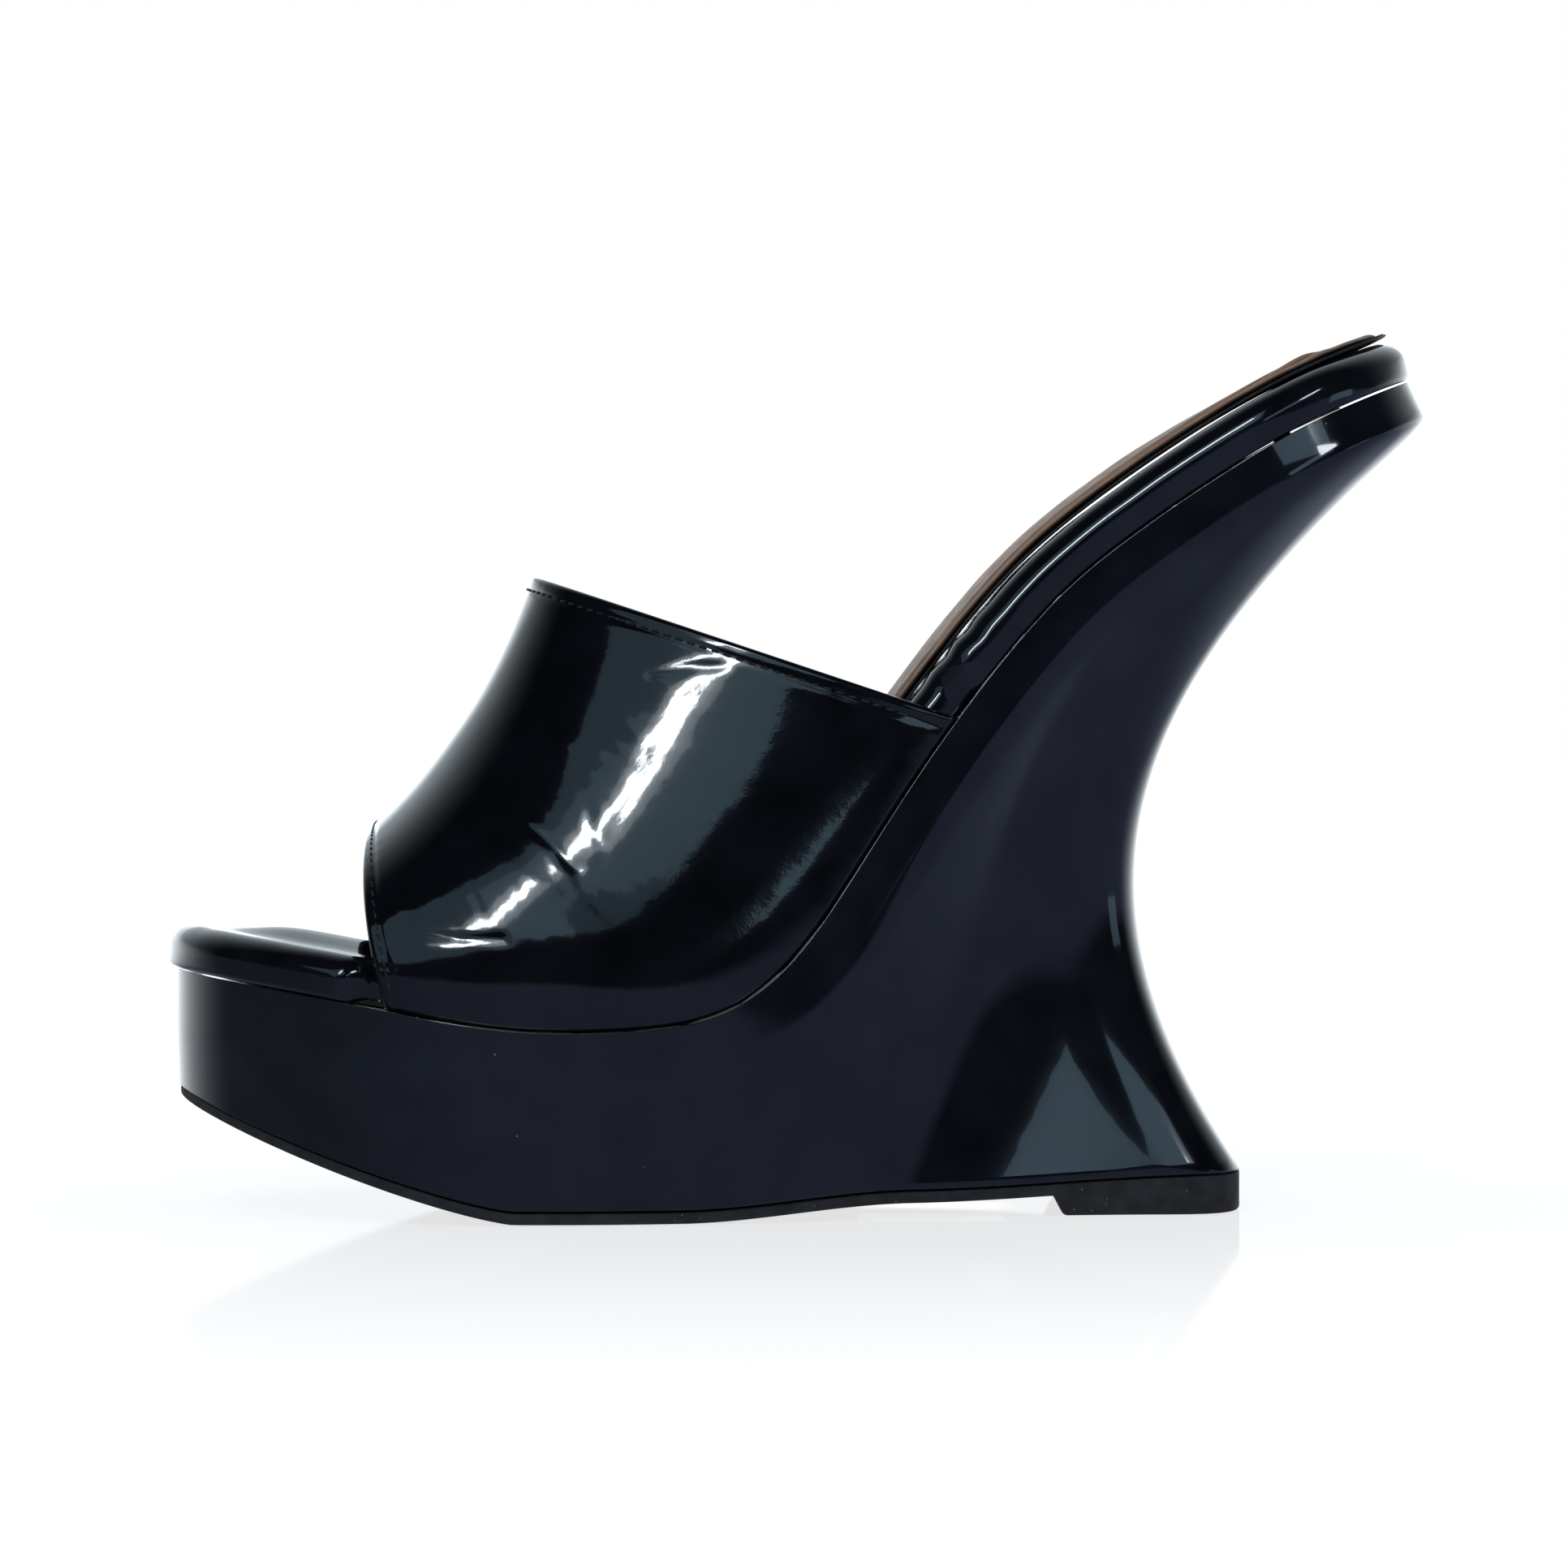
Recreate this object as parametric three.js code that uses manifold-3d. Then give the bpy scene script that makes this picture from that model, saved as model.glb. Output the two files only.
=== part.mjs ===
// Platform wedge mule for the left foot: an open-toed, open-backed slide with a moulded wedge
// wrapped in patent, a padded footbed on top of it and a wide one-piece vamp over the foot.
// Millimetres. +X runs from toe to heel, +Y to the inner side of the foot, +Z up.
// The footbed pieces are laid out along the spine: the side view of the wedge's top face.
// A place on the footbed is (s, y, n): the length along the spine from the toe, the distance
// across it, and the height above the wedge's top face, measured square to that face.

import * as THREE from 'three';
import { mergeVertices } from 'three/addons/utils/BufferGeometryUtils.js';
import Module from 'manifold-3d';

const wasm = await Module();
wasm.setup();

// ---------- driving dimensions ----------

// Wedge and platform, side view
const SHOE_LENGTH = 201.8; // toe to heel of the wedge's top face, along X
const PLATFORM_TOP = 30.2; // lowest point of the top face, under the ball of the foot
const TOE_SPRING = 8.8; // how far the top face lifts towards the toe
const HEEL_RISE = 104.2; // climb of the top face from the ball to the heel
const SOLE_LENGTH = 174; // toe to the back of the heel, along the ground
const SOLE_SETBACK = 0.3; // the toe wall leans back by this much at its foot
const TOE_LIFT = 18.2; // height of the outsole's toe above the ground, and the power of its rise
const TOE_LIFT_POWER = 1.26;
const CONTACT_FROM = 0.325; // the outsole lies flat between these shares of its length
const CONTACT_TO = 0.48;
const LEAN_FROM = 0.45; // share of the length where the heel begins to lean forward
const LEAN_POWER = 1.5;
const WAIST_LIFT = 2.4; // clearance under the waist of the sole
const WAIST_TO = 0.69; // share of the sole's length where that clearance is reached
const HEEL_SEAT_RISE = 2; // further rise of the wedge's foot above the heel block

// Rows: share of the length, share of the toe spring, share of the heel rise
const TOP_PROFILE = [
  [0, 1, 0],
  [0.135, 0.557, 0],
  [0.26, 0.08, 0],
  [0.345, 0, 0],
  [0.425, 0, 0.016],
  [0.47, 0, 0.056],
  [0.513, 0, 0.138],
  [0.576, 0, 0.3215],
  [0.64, 0, 0.5],
  [0.705, 0, 0.65],
  [0.768, 0, 0.753],
  [0.895, 0, 0.911],
  [1, 0, 1],
];

// Wedge and platform, plan view. Rows: share of the length, half-width to the outer and inner side
const BALL_OUTER = 43.5;
const BALL_INNER = 42.5;
const WAIST_HALF = 33;
const SEAT_HALF = 30;
const HEEL_HALF = 21.5; // half-width of the heel where it stands
const TOE_SWING = 4; // the toe's tip lies this far to the inner side
const TOE_REACH = 52; // length of the toe's round end, and how square it is
const TOE_POWER = 2.3;
const SEAT_REACH = 30; // length of the round end at the heel seat
const SEAT_POWER = 2.05;
const HEEL_REACH = 15; // length of the heel's rounded back corners on the ground
const HEEL_POWER = 3.2;

// Rim band under the footbed, and the hollow that the wedge's sides and back are drawn in to
const BAND_HEIGHT = 7.3; // flat band below the seam, square to the footbed
const BAND_CORNER = 1.5; // its lower edge turns in over this length
const LIP_DROP = 1.7;
const BAND_TURN_FROM = 0.12; // the wall is upright at the toe, and the band square to the footbed
const BAND_TURN_TO = 0.37; // from here on
const LIP_REAR = 4.3; // how far the band stands out over the hollow, at the back and at the sides
const LIP_SIDE = 1.8;
const SCOOP_REAR = 54; // pull of the hollow at the back and at the sides
const SCOOP_SIDE = 14;
const SCOOP_HEIGHT = 0.5; // height of the pull, as a share of the side's height
const SCOOP_FROM = 0.37; // the hollow grows between these shares of the spine
const SCOOP_TO = 0.68;

// Layers of the footbed
const GAP = 0.3; // glue line between neighbouring pieces
const CORE_GAP = 0.7; // between the moulded core and its cover
const COVER_WALL = 0.8; // patent cover of the wedge
const WRAP_WALL = 0.8; // patent wrap of the footbed
const BOARD_THICKNESS = 1.8;
const FOAM_THICKNESS = 1.8;
const FOAM_INSET = 2; // the foam is cut this much smaller than the board
const FOAM_EASE = 1.4; // and swells this much less than the wrap over it
const MARGIN_WIDTH = 12; // glued margins turned in under the footbed
const RIM_ROUND = 3.4; // round of the footbed's upper edge
const TOE_CROWN = 2.2; // the padding swells above the rim where the toes rest
const CROWN_EDGE = 10; // over this width inside the rim's round
const CROWN_FADE = 12; // and sinks over this length under the vamp's front edge
const TOE_INSET = -1.3; // the footbed's edge lies inside the wedge's edge by this much: at the toe
const HEEL_INSET = 0.1; // it stands out a little, at the heel it lies almost flush
const SOCK_BACKING = 0.5;
const SOCK_LEATHER = 0.6;
const SOCK_INSET = 1.6; // the sock's edge lies inside the top edge of the rim
const TAN_INSET = 1.3; // and the tan face inside the sock's black edge
const SOCK_FRONT_REACH = 20; // length and squareness of its round end under the vamp
const SOCK_FRONT_POWER = 2.2;
const SOCK_TIP = 1.5; // half-width where a sheet is cut off at its very ends
const CUSHION_THICKNESS = 0.8;
const CUSHION_HALF = 13;
const CUSHION_EDGE = 0.3; // its thickness along its edge
const CUSHION_FADE = 25; // it thins over this length towards its ends
const CUSHION_AHEAD = 22; // it ends this far behind the sock's front end
const CUSHION_BEHIND = 24; // and before the heel's end of the spine
const TENT_BESIDE = 2; // the tan face begins to come down this far beside the cushion
const TENT_BEYOND = 8; // and this far beyond its ends
const TENT_SLOPE = 5; // and comes down over this width

// Vamp
const VAMP_FROM = 37; // where its front and rear edges meet the seam, along the spine
const VAMP_TO = 151;
const VAMP_OUTER_WALL = 0.9;
const VAMP_INTERLINING_WALL = 0.3;
const VAMP_LINING_WALL = 0.7;
const VAMP_SIDE_CLEARANCE = 0.6; // between the lining and the footbed's rim
const VAMP_FRONT_REACH = 5; // top of the front edge, forward of and above its foot
const VAMP_FRONT_RISE = 28;
const VAMP_REAR_REACH = 69; // top of the rear edge, forward of and above its foot
const VAMP_REAR_RISE = 23.2;
const RIDGE_SAG = 3.2; // the ridge line sags below a straight line by this much
const RIDGE_SHIFT = 4; // and lies this far to the inner side
const FRONT_BOW = 0.8; // the front edge bows forward at half its height
const ARCH_POWER = 2.35;

// Outsole
const OUTSOLE_THICKNESS = 1.9;
const OUTSOLE_INSET = 0.5;
const HEEL_BLOCK_FRONT = 0.826; // share of the sole's length where the heel block begins
const HEEL_BLOCK_BEVEL = 2;

// Inner hardware
const SHANK_FROM = 100;
const SHANK_SHORT = 62; // it ends this far before the heel's end of the spine
const SHANK_HALF = 6.5;
const SHANK_THICKNESS = 1.1;
const RIVET_RADIUS = 1.4;
const RIVET_HEAD = 2.8;
const RIVET_LIFT = 0.25; // its head stays this far above the filler's underside
const RIVET_INSET = 8; // rivets from the shank's ends
const SCREW_RADIUS = 1.7;
const SCREW_HEAD = 3.6;
const SCREW_LENGTH = 14;
const SCREW_BACK = 51; // the screw's place before the heel's end of the spine
const NAIL_RADIUS = 0.9;
const NAIL_HEAD = 2;
const NAIL_LENGTH = 9;
const NAIL_PLACES = [[40, -10], [40, 10], [23, -8], [23, 8]]; // before the heel's end, and across
const HEAD_THICKNESS = 0.8;
const POCKET_LENGTH = 17; // lightening pockets in the platform
const POCKET_WIDTH = 27;
const POCKET_PITCH = 22;
const POCKET_RIB = 6;
const POCKET_FLOOR = 6;
const POCKET_FIRST = 28;
const POCKET_COUNT = 3;

// Thread and label
const THREAD_RADIUS = 0.3;
const THREAD_INSET = 1.8; // rows of stitches from the vamp's edges
const THREAD_FROM = 0.12; // they begin at this angle of the arch, just above the seam
const LABEL_LENGTH = 24;
const LABEL_WIDTH = 14;
const LABEL_THICKNESS = 0.3;
const LABEL_AT = 0.71;

// Mesh steps
const COLUMNS = 36; // along each side, toe to heel
const CROWDING = 0.7; // 0 spaces them evenly, 1 crowds them fully towards both ends
const STATION_MARGIN = 1; // least length of a step
const SCOOP_STEPS = 7;
const ARCH_STEPS = 18;
const ROUND_SHARES = [0, 0.35, 0.7, 1]; // of the quarter turn over the footbed's edge
const SOCK_LINES = 8; // strips across the sock
const SOCK_ROUND = [0.2, 1, 2.5, 5, 8, 12]; // extra sections from its ends, for its round outline

// Heights of the footbed's layers above the wedge's top face
const MARGIN_N = GAP;
const WRAP_N = MARGIN_N + VAMP_OUTER_WALL + GAP; // where the vamp's margin lies under the wrap
const BOARD_N = WRAP_N + WRAP_WALL + GAP;
const FOAM_N = BOARD_N + BOARD_THICKNESS + GAP;
const RIM_N = FOAM_N + FOAM_THICKNESS + GAP + WRAP_WALL;
const SOCK_N = RIM_N + GAP;
const TAN_N = SOCK_N + SOCK_BACKING + GAP;
const VAMP_STACK = VAMP_OUTER_WALL + VAMP_INTERLINING_WALL + VAMP_LINING_WALL + 2 * GAP;

const OUTER = -1;
const INNER = 1;
const { lerp, clamp, smoothstep } = THREE.MathUtils;
const point = (x, y, z) => new THREE.Vector3(x, y, z);

// ---------- spine, outlines and sole ----------

const spine = new THREE.CatmullRomCurve3(
  TOP_PROFILE.map(([along, spring, climb]) =>
    point(along * SHOE_LENGTH, 0, PLATFORM_TOP + spring * TOE_SPRING + climb * HEEL_RISE)),
  false,
  'centripetal',
);
spine.arcLengthDivisions = 400;
const SPINE_LENGTH = spine.getLength();

// The footbed's own directions at s: along the spine, and up, square to the footbed.
function directions(s) {
  const along = spine.getTangentAt(clamp(s / SPINE_LENGTH, 0, 1));
  return { along, up: point(-along.z, 0, along.x) };
}

// Beyond its ends the spine runs on straight.
function place(s, y, n) {
  const { along, up } = directions(s);
  const within = clamp(s, 0, SPINE_LENGTH);
  const p = spine.getPointAt(within / SPINE_LENGTH);
  p.addScaledVector(along, s - within).addScaledVector(up, n);
  p.y = y;
  return p;
}

// A smooth value through knots [share, value].
function smoothValue(knots) {
  const shares = knots.map(([share]) => share);
  const values = knots.map(([, value]) => value);
  const curve = new THREE.CubicInterpolant(shares, values, 1, [0]);
  return (share) => curve.evaluate(clamp(share, 0, 1))[0];
}

// 0 at an end, 1 from `reach` inwards, along a superellipse.
function roundEnd(distance, reach, power) {
  const left = clamp(1 - distance / reach, 0, 1);
  return (1 - left ** power) ** (1 / power);
}

const topWidths = (ball) => smoothValue([
  [0, ball - 6],
  [0.16, ball - 2.3],
  [0.3, ball],
  [0.43, ball - 4],
  [0.57, WAIST_HALF + 1],
  [0.7, lerp(WAIST_HALF, SEAT_HALF, 0.7)],
  [0.85, SEAT_HALF],
  [1, SEAT_HALF],
]);
const soleWidths = (ball) => smoothValue([
  [0, ball - 6.5],
  [0.19, ball - 2.6],
  [0.35, ball - 0.6],
  [0.5, ball - 4.4],
  [0.62, lerp(ball, HEEL_HALF, 0.5)],
  [0.75, lerp(ball, HEEL_HALF, 0.78)],
  [0.87, HEEL_HALF + 1],
  [1, HEEL_HALF],
]);
const TOP_WIDTH = { [OUTER]: topWidths(BALL_OUTER), [INNER]: topWidths(BALL_INNER) };
const SOLE_WIDTH = { [OUTER]: soleWidths(BALL_OUTER), [INNER]: soleWidths(BALL_INNER) };

const swing = (share) => TOE_SWING * clamp(1 - share / 0.35, 0, 1) ** 2;

function topHalfWidth(s, side) {
  const ends = roundEnd(s, TOE_REACH, TOE_POWER) * roundEnd(SPINE_LENGTH - s, SEAT_REACH, SEAT_POWER);
  return TOP_WIDTH[side](s / SPINE_LENGTH) * ends;
}

// Shares that crowd together towards both ends, so that the round ends are drawn finely.
const endwise = (u) => lerp(u, (1 - Math.cos(Math.PI * u)) / 2, CROWDING);

// Places along the spine between two others. They are those of the wedge's columns, so that
// pieces that lie on one another bend at the same places.
function stations(from, to) {
  const between = [];
  for (let i = 0; i <= COLUMNS; i++) {
    const s = SPINE_LENGTH * endwise(i / COLUMNS);
    if (s > from + STATION_MARGIN && s < to - STATION_MARGIN) between.push(s);
  }
  return [from, ...between, to];
}

function rimPoint(u, side) {
  const s = SPINE_LENGTH * endwise(u);
  return new THREE.Vector2(s, swing(s / SPINE_LENGTH) + side * topHalfWidth(s, side));
}

// A point of the wedge's top outline moved inwards, with its outward direction in the footbed.
function outline(u, side, inset) {
  const step = 1e-3;
  const ahead = rimPoint(Math.min(u + step, 1), side);
  const behind = rimPoint(Math.max(u - step, 0), side);
  const tangent = ahead.sub(behind).normalize();
  const out = new THREE.Vector2(-tangent.y, tangent.x).multiplyScalar(side);
  if (u === 0) out.set(-1, 0);
  if (u === 1) out.set(1, 0);
  const at = rimPoint(u, side).addScaledVector(out, -inset);
  return { s: at.x, y: at.y, out };
}

// Length along the sole under a given share of the top face: straight below at the toe,
// then drawn forward, because the heel stands well in front of the seat.
function soleShare(topShare) {
  const straight = SHOE_LENGTH / SOLE_LENGTH;
  const past = Math.max(0, topShare - LEAN_FROM) / (1 - LEAN_FROM);
  return straight * topShare - (straight - 1) * past ** LEAN_POWER;
}

// Clearance between the ground and the outsole, without the heel block.
function soleLift(share) {
  const toe = clamp(1 - share / CONTACT_FROM, 0, 1) ** TOE_LIFT_POWER;
  const waist = smoothstep(share, CONTACT_TO, WAIST_TO);
  const seat = smoothstep(share, WAIST_TO, 1);
  return TOE_LIFT * toe + WAIST_LIFT * waist + HEEL_SEAT_RISE * seat;
}

const wedgeFoot = (share) => soleLift(share) + OUTSOLE_THICKNESS + GAP;

function solePoint(u, side, inset) {
  const topShare = spine.getPointAt(endwise(u)).x / SHOE_LENGTH;
  const share = soleShare(topShare);
  const length = SOLE_LENGTH - SOLE_SETBACK;
  const ends = roundEnd(share * length, TOE_REACH, TOE_POWER)
    * roundEnd((1 - share) * length, HEEL_REACH, HEEL_POWER);
  const y = swing(share * length / SPINE_LENGTH) + side * SOLE_WIDTH[side](share) * ends;
  const { out } = outline(u, side, 0);
  return {
    x: SOLE_SETBACK + share * length - out.x * inset,
    y: y - out.y * inset,
    share,
  };
}

// ---------- mesh helpers ----------

// Points round a piece: from the toe along the outer side, then back along the inner side.
function ring(at) {
  const points = [];
  for (let i = 0; i <= COLUMNS; i++) points.push(at(i / COLUMNS, OUTER));
  for (let i = COLUMNS - 1; i > 0; i--) points.push(at(i / COLUMNS, INNER));
  return points;
}

function signedVolume(positions, index) {
  const corner = [point(), point(), point()];
  let volume = 0;
  for (let i = 0; i < index.length; i += 3) {
    corner.forEach((c, k) => c.fromArray(positions, 3 * index[i + k]));
    volume += corner[0].dot(corner[1].cross(corner[2])) / 6;
  }
  return volume;
}

function solidGeometry(positions, index) {
  const inward = signedVolume(positions, index) < 0;
  const geometry = new THREE.BufferGeometry();
  geometry.setAttribute('position', new THREE.Float32BufferAttribute(positions, 3));
  geometry.setIndex(inward ? index.reverse() : index);
  return geometry;
}

// A closed solid through rings of points. The last ring joins the first when `looped` is set;
// otherwise both end rings are capped with strips that run across the ring. `poled` rings begin
// and turn at one point; the others hold two equal sides.
function loft(rings, { looped = false, poled = true } = {}) {
  const count = rings[0].length;
  const index = [];
  const quad = (a, b, c, d) => {
    if (a !== b && b !== c && c !== a) index.push(a, b, c);
    if (a !== c && c !== d && d !== a) index.push(a, c, d);
  };
  const spans = looped ? rings.length : rings.length - 1;
  for (let r = 0; r < spans; r++) {
    const low = r * count;
    const high = ((r + 1) % rings.length) * count;
    for (let i = 0; i < count; i++) {
      const next = (i + 1) % count;
      quad(low + i, low + next, high + next, high + i);
    }
  }
  const partner = (i) => (poled ? (count - i) % count : count - 1 - i);
  const across = poled ? count / 2 : count / 2 - 1;
  const cap = (start, turned) => {
    for (let i = 0; i < across; i++) {
      const strip = [i, i + 1, partner(i + 1), partner(i)].map((k) => start + k);
      quad(...(turned ? strip : strip.reverse()));
    }
  };
  if (!looped) {
    cap(0, false);
    cap((rings.length - 1) * count, true);
  }
  return solidGeometry(rings.flat().flatMap((p) => [p.x, p.y, p.z]), index);
}

function toManifold(geometry) {
  const bare = geometry.clone();
  bare.deleteAttribute('normal');
  bare.deleteAttribute('uv');
  const merged = mergeVertices(bare, 1e-4);
  return new wasm.Manifold(new wasm.Mesh({
    numProp: 3,
    vertProperties: merged.attributes.position.array,
    triVerts: new Uint32Array(merged.index.array),
  }));
}

function fromManifold(solid) {
  const { vertProperties, triVerts } = solid.getMesh();
  const geometry = new THREE.BufferGeometry();
  geometry.setAttribute('position', new THREE.Float32BufferAttribute(vertProperties, 3));
  geometry.setIndex([...triVerts]);
  return geometry;
}

const cut = (geometry, tools) =>
  fromManifold(tools.reduce((left, tool) => left.subtract(toManifold(tool)), toManifold(geometry)));

const shoe = new THREE.Group();

const PATENT = { color: 0x05060a, roughness: 0.08, metalness: 0 };
const RUBBER = { color: 0x15161a, roughness: 0.75, metalness: 0 };
const PLASTIC = { color: 0xb9b2a3, roughness: 0.6, metalness: 0 };
const BOARD = { color: 0x9a7f5c, roughness: 0.9, metalness: 0 };
const FOAM = { color: 0xe4dcc4, roughness: 0.95, metalness: 0 };
const STEEL = { color: 0x9aa0a6, roughness: 0.35, metalness: 1 };
const TAN = { color: 0x8a5a3c, roughness: 0.45, metalness: 0 };
const LINING = { color: 0x141416, roughness: 0.7, metalness: 0 };
const THREAD = { color: 0x08080a, roughness: 0.6, metalness: 0 };
const PAPER = { color: 0xe8ebe6, roughness: 0.7, metalness: 0 };

function add(name, geometry, finish) {
  geometry.computeVertexNormals();
  const mesh = new THREE.Mesh(geometry, new THREE.MeshStandardMaterial(finish));
  mesh.name = name;
  shoe.add(mesh);
}

// ---------- wedge ----------

// One line down the wedge's side at u: the rim band, its turned-in edge, then a hollow curve
// to the sole. `lean` fades the hollow out towards the platform, where the wall is straight.
function wedgeColumn(u, side) {
  const rim = outline(u, side, 0);
  const { along, up } = directions(rim.s);
  const lean = smoothstep(rim.s / SPINE_LENGTH, SCOOP_FROM, SCOOP_TO);
  const top = place(rim.s, rim.y, 0);
  const rise = point(0, 0, 1).lerp(up, smoothstep(rim.s / SPINE_LENGTH, BAND_TURN_FROM, BAND_TURN_TO));
  const edge = top.clone().addScaledVector(rise, -BAND_HEIGHT);
  const crease = edge.clone().addScaledVector(rise, -LIP_DROP);
  crease.addScaledVector(along, -rim.out.x * LIP_REAR * lean);
  crease.y -= rim.out.y * LIP_SIDE * lean;
  const sole = solePoint(u, side, 0);
  const foot = point(sole.x, sole.y, wedgeFoot(sole.share));
  const hollow = crease.clone().lerp(foot, 0.5);
  hollow.x -= SCOOP_REAR * clamp((rim.s / SPINE_LENGTH - SCOOP_FROM) / (1 - SCOOP_FROM), 0, 1);
  hollow.y -= rim.out.y * SCOOP_SIDE;
  hollow.z = lerp(foot.z, crease.z, SCOOP_HEIGHT);
  const high = crease.clone().lerp(foot, 1 / 3).lerp(crease.clone().lerp(hollow, 0.7), lean);
  const low = crease.clone().lerp(foot, 2 / 3).lerp(foot.clone().lerp(hollow, 0.75), lean);
  const turn = new THREE.QuadraticBezierCurve3(edge.clone().addScaledVector(rise, BAND_CORNER), edge, crease);
  const flank = new THREE.CubicBezierCurve3(crease, high, low, foot);
  return [top, ...turn.getPoints(2), ...flank.getPoints(SCOOP_STEPS).slice(1)];
}

const wedgeFace = ring(wedgeColumn);

// Rings of the wedge's side face from its top to its sole, moved inwards by `depth`.
function wedgeRings(depth) {
  const count = wedgeFace.length;
  const rows = wedgeFace[0].length;
  const outAt = ring((u, side) => {
    const rim = outline(u, side, 0);
    const out = directions(rim.s).along.multiplyScalar(rim.out.x);
    out.y = rim.out.y;
    return out;
  });
  return Array.from({ length: rows }, (_, row) => wedgeFace.map((column, i) => {
    const p = column[row].clone();
    if (row === 0) return p.addScaledVector(outAt[i], -depth);
    const flat = row === rows - 1;
    const before = wedgeFace[(i + count - 1) % count][row];
    const after = wedgeFace[(i + 1) % count][row];
    const above = column[row - 1];
    const below = column[Math.min(row + 1, rows - 1)];
    const normal = after.clone().sub(before).cross(above.clone().sub(below));
    if (flat) normal.z = 0;
    return p.addScaledVector(normal.normalize(), -depth);
  }));
}

// A lightening pocket, open at the wedge's top face.
function pocket(k, side) {
  const s = POCKET_FIRST + k * POCKET_PITCH + POCKET_LENGTH / 2;
  const floor = wedgeFoot(soleShare(s / SHOE_LENGTH)) + POCKET_FLOOR;
  const height = PLATFORM_TOP + TOE_SPRING + 1 - floor;
  const box = new THREE.BoxGeometry(POCKET_LENGTH, POCKET_WIDTH, height);
  box.translate(s, side * (POCKET_WIDTH + POCKET_RIB) / 2, floor + height / 2);
  return box;
}

// A turned solid whose axis stands square to the footbed at (s, y); profile of [radius, n].
function turned(s, y, profile) {
  const lathe = new THREE.LatheGeometry(profile.map(([r, n]) => new THREE.Vector2(r, n)), 10);
  const { along, up } = directions(s);
  const base = place(s, y, 0);
  const frame = new THREE.Matrix4().makeBasis(along.clone(), up.clone(), point(0, -1, 0));
  return lathe.applyMatrix4(frame.setPosition(base));
}

const hole = (s, y, radius, from, to) => turned(s, y, [[0, from], [radius, from], [radius, to], [0, to]]);

// ---------- fasteners ----------

const HEAD_TOP = BOARD_N + BOARD_THICKNESS - GAP / 2;
const SHANK_TOP = BOARD_N - GAP;
const SHANK_BOTTOM = SHANK_TOP - SHANK_THICKNESS;

const headed = (s, y, radius, head, length) => turned(s, y, [
  [0, -length],
  [radius, radius - length],
  [radius, HEAD_TOP - HEAD_THICKNESS],
  [head, HEAD_TOP - HEAD_THICKNESS],
  [head, HEAD_TOP],
  [0, HEAD_TOP],
]);

const rivet = (s) => turned(s, 0, [
  [0, MARGIN_N + RIVET_LIFT],
  [RIVET_HEAD, MARGIN_N + RIVET_LIFT],
  [RIVET_HEAD, SHANK_BOTTOM - GAP],
  [RIVET_RADIUS, SHANK_BOTTOM - GAP],
  [RIVET_RADIUS, HEAD_TOP],
  [0, HEAD_TOP],
]);

// Holes for a headed fastener: through the layers below the board, and stepped in the board.
const bore = (s, y, radius, length) => hole(s, y, radius + GAP, -length - GAP, FOAM_N);
const headSeat = (s, y, head) => hole(s, y, head + GAP, HEAD_TOP - HEAD_THICKNESS - GAP, FOAM_N);

const SHANK_TO = SPINE_LENGTH - SHANK_SHORT;
const SCREW_AT = SPINE_LENGTH - SCREW_BACK;
const NAILS = NAIL_PLACES.map(([back, y]) => [SPINE_LENGTH - back, y]);
const RIVETS = { front: SHANK_FROM + RIVET_INSET, rear: SHANK_TO - RIVET_INSET };
const screwBore = bore(SCREW_AT, 0, SCREW_RADIUS, SCREW_LENGTH);
const nailBores = NAILS.map(([s, y]) => bore(s, y, NAIL_RADIUS, NAIL_LENGTH));

// ---------- wedge: moulded core and patent cover ----------

const pockets = [];
for (let k = 0; k < POCKET_COUNT; k++) pockets.push(pocket(k, OUTER), pocket(k, INNER));
const core = loft(wedgeRings(COVER_WALL + CORE_GAP));
add('wedge_core', cut(core, [...pockets, screwBore, ...nailBores]), PLASTIC);
add('wedge_cover', loft([...wedgeRings(0), ...wedgeRings(COVER_WALL).reverse()], { looped: true }), PATENT);

// ---------- footbed ----------

// 1 where the vamp runs down beside the footbed, 0 ahead of and behind it.
const underVamp = (s) => smoothstep(s, VAMP_FROM - 16, VAMP_FROM - 5)
  * (1 - smoothstep(s, VAMP_TO + 3, VAMP_TO + 15));

function footbedInset(s) {
  const open = lerp(TOE_INSET, HEEL_INSET, smoothstep(s / SPINE_LENGTH, 0.1, 0.8));
  return lerp(open, VAMP_STACK + VAMP_SIDE_CLEARANCE, underVamp(s));
}

// A ring of the footbed `depth` inside its edge. `height` is n, or a function of s that gives n.
function footbedRing(depth, height) {
  return ring((u, side) => {
    const s = rimPoint(u, side).x;
    const at = outline(u, side, footbedInset(s) + depth);
    return place(at.s, at.y, typeof height === 'function' ? height(s) : height);
  });
}

// Rings over the top of a footbed layer: an arc of radius `round` that ends at `top`, then the
// crown under the toes.
function topRings(depth, top, round, swell = TOE_CROWN) {
  const arc = ROUND_SHARES.map((share) => {
    const angle = share * Math.PI / 2;
    return footbedRing(depth + round * (1 - Math.cos(angle)), top - round * (1 - Math.sin(angle)));
  });
  const sunk = (s) => smoothstep(s, VAMP_FROM - CROWN_FADE / 2, VAMP_FROM + CROWN_FADE / 2);
  const crowned = (s) => top + swell * (1 - sunk(s));
  return [...arc, footbedRing(depth + round + CROWN_EDGE, crowned)];
}

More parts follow.
